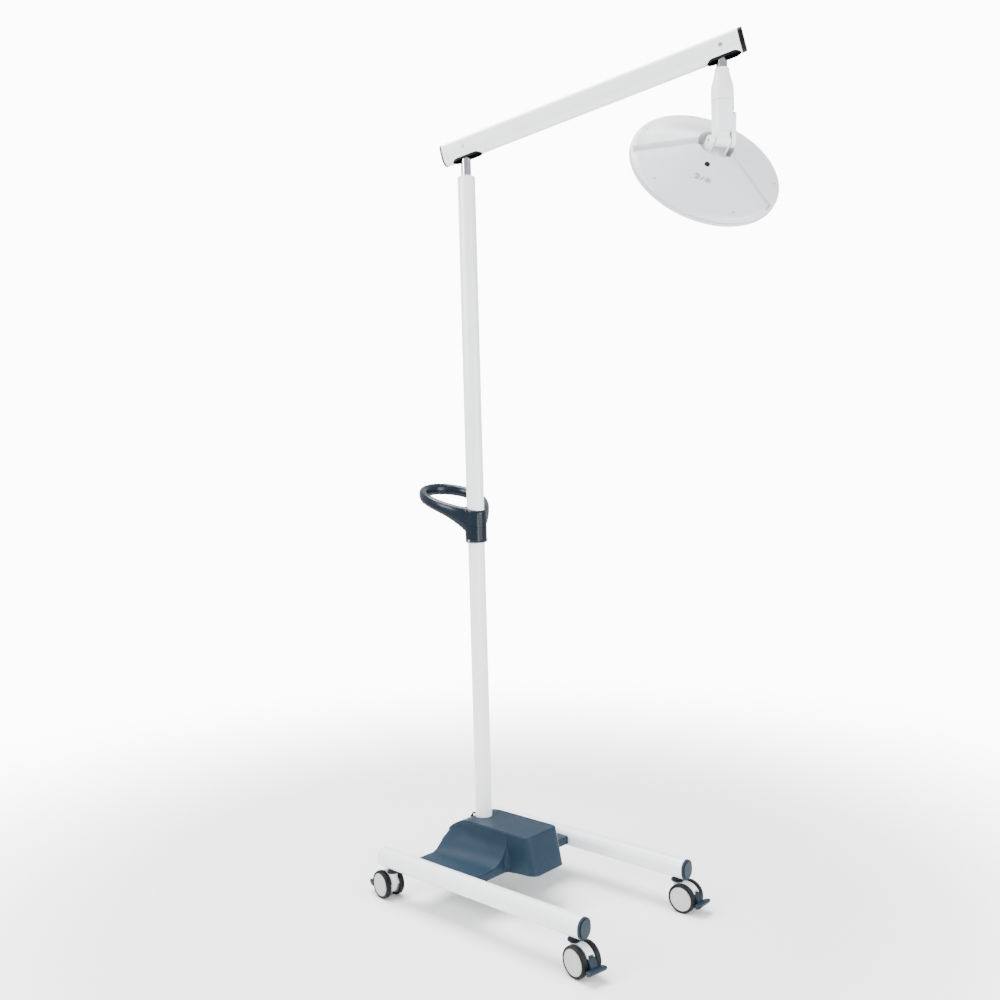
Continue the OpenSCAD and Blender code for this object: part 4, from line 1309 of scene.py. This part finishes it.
@dataclass
class Suspension:
    """Bell collar, swivel and yoke that hang the head from the arm."""

    bell_top: float = -46.0
    bell_bottom: float = -117.0
    bell_r: float = 24.5
    post_r: float = 12.0

    def build(self, shop: Workshop) -> None:
        """Models the bell, the swivel and its cheek."""
        pivot = shop.joint_place("drop_level")
        top, low, r = self.bell_top, self.bell_bottom, self.bell_r
        profile = [(self.post_r, top), (14.9, top), (15.5, top - 0.6), (15.8, top - 1.6)]
        for k in range(13):
            t = k / 12
            profile.append((15.9 + (r - 16.1) * (3 * t * t - 2 * t ** 3) ** 0.95, top - 4 - 44 * t))
        profile += [(r, top - 51), (r, low + 0.6), (r - 0.6, low), (self.post_r + 0.2, low),
                (self.post_r, low + 17)]
        bell = Bench.lathe("bell", profile, 96, True)
        Bench.shade(bell, 35)
        Bench.place(bell, Matrix.Translation(pivot))
        shop.sign_off(bell, "drop", "white_plastic", "bell_collar")
        swivel = shop.rounded_node("swivel_body", "swivel_barrel", 1.2, 3)
        shop.sign_off(swivel, "swivel", "white_plastic", "swivel_body")
        cheek = shop.rounded_node("yoke_cheek", "yoke_side", 2.0, 3)
        shop.sign_off(cheek, "swivel", "white_plastic", "yoke_cheek")


# ---------------------------------------------------------------- lamp head


@dataclass
class LampHead:
    """Round LED head: domed back with three channels, bright rim, lens face and grip."""

    radius: float = 175.5
    tilt: float = 56.7
    offset: float = -13.0
    top: float = -9.0
    rim_z: float = -74.0
    recess_r: float = 41.0
    recess_depth: float = 32.0
    cone_r: float = 162.5
    cone_z: float = -62.0
    groove_half: float = 11.0
    groove_depth: float = 7.5
    wall_slope: float = 1.5
    grooves: tuple[float, ...] = (-103.2, 40.8, 148.8)
    screws: tuple[float, ...] = (-67.2, 4.8, 68.8, 120.8, 176.8, 228.8)
    screw_ring: float = 160.0
    button_ring: float = 65.0
    button_angle: float = -32.0
    icon_ring: float = 98.0
    grip_len: float = 82.0
    walls: tuple[float, ...] = (-13.0, -12.4, -12.0, -11.6, -11.2, -10.8, -10.4, -10.0, -9.2, -6.0, -2.0, 2.0,
                                6.0, 9.2, 10.0, 10.4, 10.8, 11.2, 11.6, 12.0, 12.4, 13.0)

    @property
    def slope(self) -> float:
        """Slope of the back in radians."""
        return math.atan((self.top - self.cone_z) / (self.cone_r - self.recess_r))

    def frame(self, shop: Workshop) -> Matrix:
        """Place of the round head's middle, with Z along its axis."""
        y = shop.joint_axis("head_tilt")
        x = y.cross(Vector((0, 0, 1)))
        upright = axes(shop.joint_place("head_tilt"), x, y, Vector((0, 0, 1)))
        tilted = upright @ Matrix.Rotation(math.radians(self.tilt), 4, "Y")
        return tilted @ Matrix.Translation((0, self.offset * MM, 0))

    def on_back(self, shop: Workshop, ring: float, angle: float, lift: float = 0.0) -> Matrix:
        """A place on the sloping back, with Z square to it and X downhill.

        Args:
            shop: The workshop.
            ring: Distance from the head's axis.
            angle: Angle round the axis in degrees.
            lift: Height above the surface.

        Returns:
            The placing matrix.
        """
        z = self.top - (ring - self.recess_r) * math.tan(self.slope)
        return (self.frame(shop) @ Matrix.Rotation(math.radians(angle), 4, "Z")
                @ Matrix.Translation(Vector((ring, 0, z)) * MM)
                @ Matrix.Rotation(self.slope, 4, "Y") @ Matrix.Translation((0, 0, lift * MM)))

    def rings(self) -> list[tuple[float, float, float]]:
        """Rows from the recess floor over the back to the rim: radius, height and channel depth share."""
        floor = self.top - self.recess_depth
        rows = [(8.0, floor, 0.0), (24.0, floor, 0.0), (self.recess_r - 2.4, floor, 0.0)]
        rows += [(x, z, 0.0) for x, z in arc((self.recess_r - 2.4, floor + 2.4), 2.4, -60, 0, 3)]
        rows += [(self.recess_r, self.top - 9, 0.0), (self.recess_r, self.top - 6, 0.5),
                (self.recess_r, self.top - 3, 1.0)]
        rows += [(x, z, 1.0) for x, z in arc((self.recess_r + 1.6, self.top - 1.75), 1.6, 180, 98, 5)]
        for ring in (46, 52, 60, 70, 80, 90, 100, 110, 120, 130, 140, 150, 156):
            rows.append((ring, self.top - (ring - self.recess_r) * math.tan(self.slope), 1.0))
        turn = math.degrees(self.slope)
        rise = 16.0
        centre = (self.cone_r - 3 - rise * math.sin(self.slope) + 0.3,
                  self.top - (self.cone_r - 3 - self.recess_r) * math.tan(self.slope)
                  - rise * math.cos(self.slope))
        steps = 12
        for k in range(1, steps + 1):
            a = math.radians(90 - turn - (90 - turn) * k / steps)
            share = 1.0 if k < 4 else max(0.0, 1 - (k - 3) / 3.0)
            x = centre[0] + (self.radius - centre[0]) * math.cos(a)
            rows.append((x, centre[1] + rise * math.sin(a), share))
        rows += [(self.radius, self.rim_z, 0.0), (self.radius, self.rim_z - 2.6, 0.0),
                (self.radius - 0.5, self.rim_z - 3, 0.0),
                 (self.radius - 5, self.rim_z - 3, 0.0), (self.radius - 5, self.rim_z + 2, 0.0)]
        return rows

    def back(self, shop: Workshop) -> None:
        """Models the domed back with its channels."""
        rows = self.rings()
        columns: list[tuple[int, float, float]] = []
        for k, angle in enumerate(self.grooves):
            following = self.grooves[(k + 1) % 3] + (360 if k == 2 else 0)
            columns += [(0, angle, wall) for wall in self.walls]
            gap = following - angle
            count = max(8, round(gap / 3.2))
            columns += [(1, angle + gap * n / count, n / count) for n in range(1, count)]
        grooves = list(self.grooves)

        def shape(wall: float) -> float:
            """Share of the groove's depth at a distance from its middle."""
            edge = abs(wall) - self.groove_half
            if abs(edge) > self.wall_slope:
                return 1.0 if edge < 0 else 0.0
            return 0.5 - 0.5 * math.sin(math.pi / 2 * edge / self.wall_slope)

        def spot(column: int, row: int) -> Point3:
            """One vertex of the back, sunk where a groove runs."""
            ring, z, share = rows[row]
            kind, angle, value = columns[column % len(columns)]
            reach = max(ring, self.recess_r)
            edge = math.degrees(math.asin(self.walls[-1] / reach))
            depth = 0.0
            if kind == 0:
                turn = angle + math.degrees(math.asin(value / reach))
                depth = self.groove_depth * shape(value) * share
            else:
                start = max(g for g in grooves if g < angle)
                end = min([g for g in grooves if g > angle] or [grooves[0] + 360])
                turn = start + edge + (end - start - 2 * edge) * value
            a = math.radians(turn)
            sink_r = depth * math.sin(self.slope) if ring > self.recess_r + 1 else -depth * 0.0
            return ((ring - sink_r) * math.cos(a), (ring - sink_r) * math.sin(a), z - depth)

        back = Bench.sheet("head_back", len(columns) + 1, len(rows), spot)
        Bench.pick(back)
        bpy.ops.object.shade_smooth_by_angle(angle=math.radians(40))
        Bench.place(back, self.frame(shop))
        shop.sign_off(back, "head", "head_white", "head_back_cover")
        LOG.info("head back has %d columns and %d rows", len(columns), len(rows))

    def icon_bar(self, name: str, length: float, width: float) -> bpy.types.Object:
        """A thin printed stroke centred on its own origin."""
        return Bench.block(name, (0, 0, 0), (length, width, 0.12))

    def ring_stroke(self, name: str, radius: float, width: float, start: float,
            sweep: float) -> bpy.types.Object:
        """A thin printed ring or part of one."""
        count = max(8, round(sweep / 9))
        outer = arc((0, 0), radius + width / 2, start, start + sweep, count)
        inner = arc((0, 0), radius - width / 2, start + sweep, start, count)
        if sweep >= 360:
            return Bench.lathe(name, [(radius - width / 2, -0.06), (radius + width / 2, -0.06),
                                      (radius + width / 2, 0.06), (radius - width / 2, 0.06)], 48, True)
        return Bench.prism(name, outer + inner, -0.06, 0.06)

    def icons(self, shop: Workshop) -> None:
        """The power and brightness signs beside the button."""
        power = Bench.join(self.ring_stroke("power_sign", 5.4, 1.7, 125, 290),
                self.icon_bar("stroke", 7.0, 1.7))
        Bench.place(power, Matrix.Identity(4))
        slash = self.icon_bar("slash_sign", 12, 1.6)
        sun = self.ring_stroke("sun_sign", 2.8, 1.4, 0, 360)
        rays = []
        for k in range(8):
            ray = self.icon_bar("ray", 2.7, 1.4)
            Bench.place(ray, Matrix.Rotation(math.tau * k / 8, 4, "Z") @ Matrix.Translation((0.0061, 0, 0)))
            rays.append(ray)
        sun = Bench.join(sun, *rays)
        for sign, angle, turn in ((power, -37.6, 200), (slash, -30.2, 150), (sun, -22.6, 0)):
            Bench.place(sign, self.on_back(shop, self.icon_ring, angle,
                    0.06) @ Matrix.Rotation(math.radians(turn), 4, "Z"))
            shop.sign_off(sign, "head", "button_dark")

    def button(self, shop: Workshop) -> None:
        """The dished push button with a raised rim and a collar round it."""
        cap = Bench.lathe("push_button", [
            (0, -6), (4.15, -6), (4.15, 0.5), (3.8, 1.05), (3.2, 1.15), (2.6, 0.85), (0, 0.55)], 48)
        Bench.shade(cap, 40)
        Bench.place(cap, self.on_back(shop, self.button_ring, self.button_angle))
        shop.sign_off(cap, "button", "button_dark", "power_button")
        collar = Bench.lathe("button_collar", [(4.3, -0.6), (5.9, -0.6), (5.9, 0.15), (5.5, 0.42),
                (4.7, 0.42), (4.3, 0.15)], 48, True)
        Bench.shade(collar, 40)
        Bench.place(collar, self.on_back(shop, self.button_ring, self.button_angle))
        shop.sign_off(collar, "head", "button_dark")

    def rim_screws_and_hole_shade(self, shop: Workshop) -> None:
        """Small dark screws sunk round the edge of the back; their black is also painted shade for screw
        holes that the back does not have.
        """
        # Black screw heads: real screws, and also painted shade standing in for the uncut screw holes.
        model = Bench.lathe("rim_screw", [(0, -1), (3.0, -1), (3.0, 0.05), (2.7, 0.16), (2.3, 0.05),
                (1.8, -0.5), (0, -0.5)], 32)
        Bench.shade(model, 35)
        for k, angle in enumerate(self.screws):
            screw = Bench.copy(model, f"rim_screw_{k + 1}")
            Bench.place(screw, self.on_back(shop, self.screw_ring - 1.5, angle, 0.5))
            # black finish here is partly painted shade of a screw hole
            shop.sign_off(screw, "head", "inlet_black", "rim_screws")
        bpy.data.objects.remove(model)

    def face(self, shop: Workshop) -> None:
        """The rounded front ring and the grip below the lens."""
        r, z = self.radius, self.rim_z
        profile = [(r - 14, z - 13.9), (r - 12, z - 13.9)] + arc((r - 6.6, z - 7.4), 6.5, -90, -4, 8)
        profile += [(r - 0.05, z - 3.4), (r - 14, z - 3.4)]
        ring = Bench.lathe("front_ring", profile, 160, True)
        Bench.shade(ring, 40)
        Bench.place(ring, self.frame(shop))
        shop.sign_off(ring, "head", "head_white", "head_front_ring")
        low = z - 10
        shapes = [(0, 3.6), (11, 3.6), (11, -2.6), (18.4, -2.6), (19.6, -3.6), (19.6, -4.8), (17.2, -8),
                (14.6, -12.5),
                  (13.1, -19), (12.6, -28)]
        for k in range(5):
            at = -32 - 6.4 * k
            shapes += [(13.0 + 0.15 * k, at), (13.9 + 0.15 * k, at - 1.6), (13.0 + 0.15 * k, at - 3.2)]
        shapes += [(14.6, -self.grip_len + 12), (14.8, -self.grip_len + 7), (13.6, -self.grip_len + 2.6),
                   (10.6, -self.grip_len + 0.4), (0, -self.grip_len)]
        grip = Bench.lathe("sterile_grip", [(x, h + low) for x, h in shapes], 64)
        Bench.shade(grip, 40)
        Bench.place(grip, self.frame(shop))
        shop.sign_off(grip, "head", "white_plastic", "grip")

    def build(self, shop: Workshop) -> None:
        """Models everything on the head."""
        self.back(shop)
        self.icons(shop)
        self.button(shop)
        self.rim_screws_and_hole_shade(shop)
        self.face(shop)
        cradle = shop.rounded_node("head_cradle", "tilt_cradle", 1.4, 3)
        shop.sign_off(cradle, "head", "white_plastic", "head_cradle")


def main() -> None:
    """Builds the studio and every piece."""
    logging.basicConfig(level=logging.INFO, format="%(message)s")
    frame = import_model()
    Studio().build()
    shop = Workshop(frame)
    shop.dress_nodes()
    for assembly in (BaseCover(), LegCaps(), TwinCastor(), PushHandle(), Mast(), LampArm(), Suspension(),
            LampHead()):
        assembly.build(shop)
    LOG.info("%d pieces signed off", shop.count)


if __name__ == "__main__":
    main()
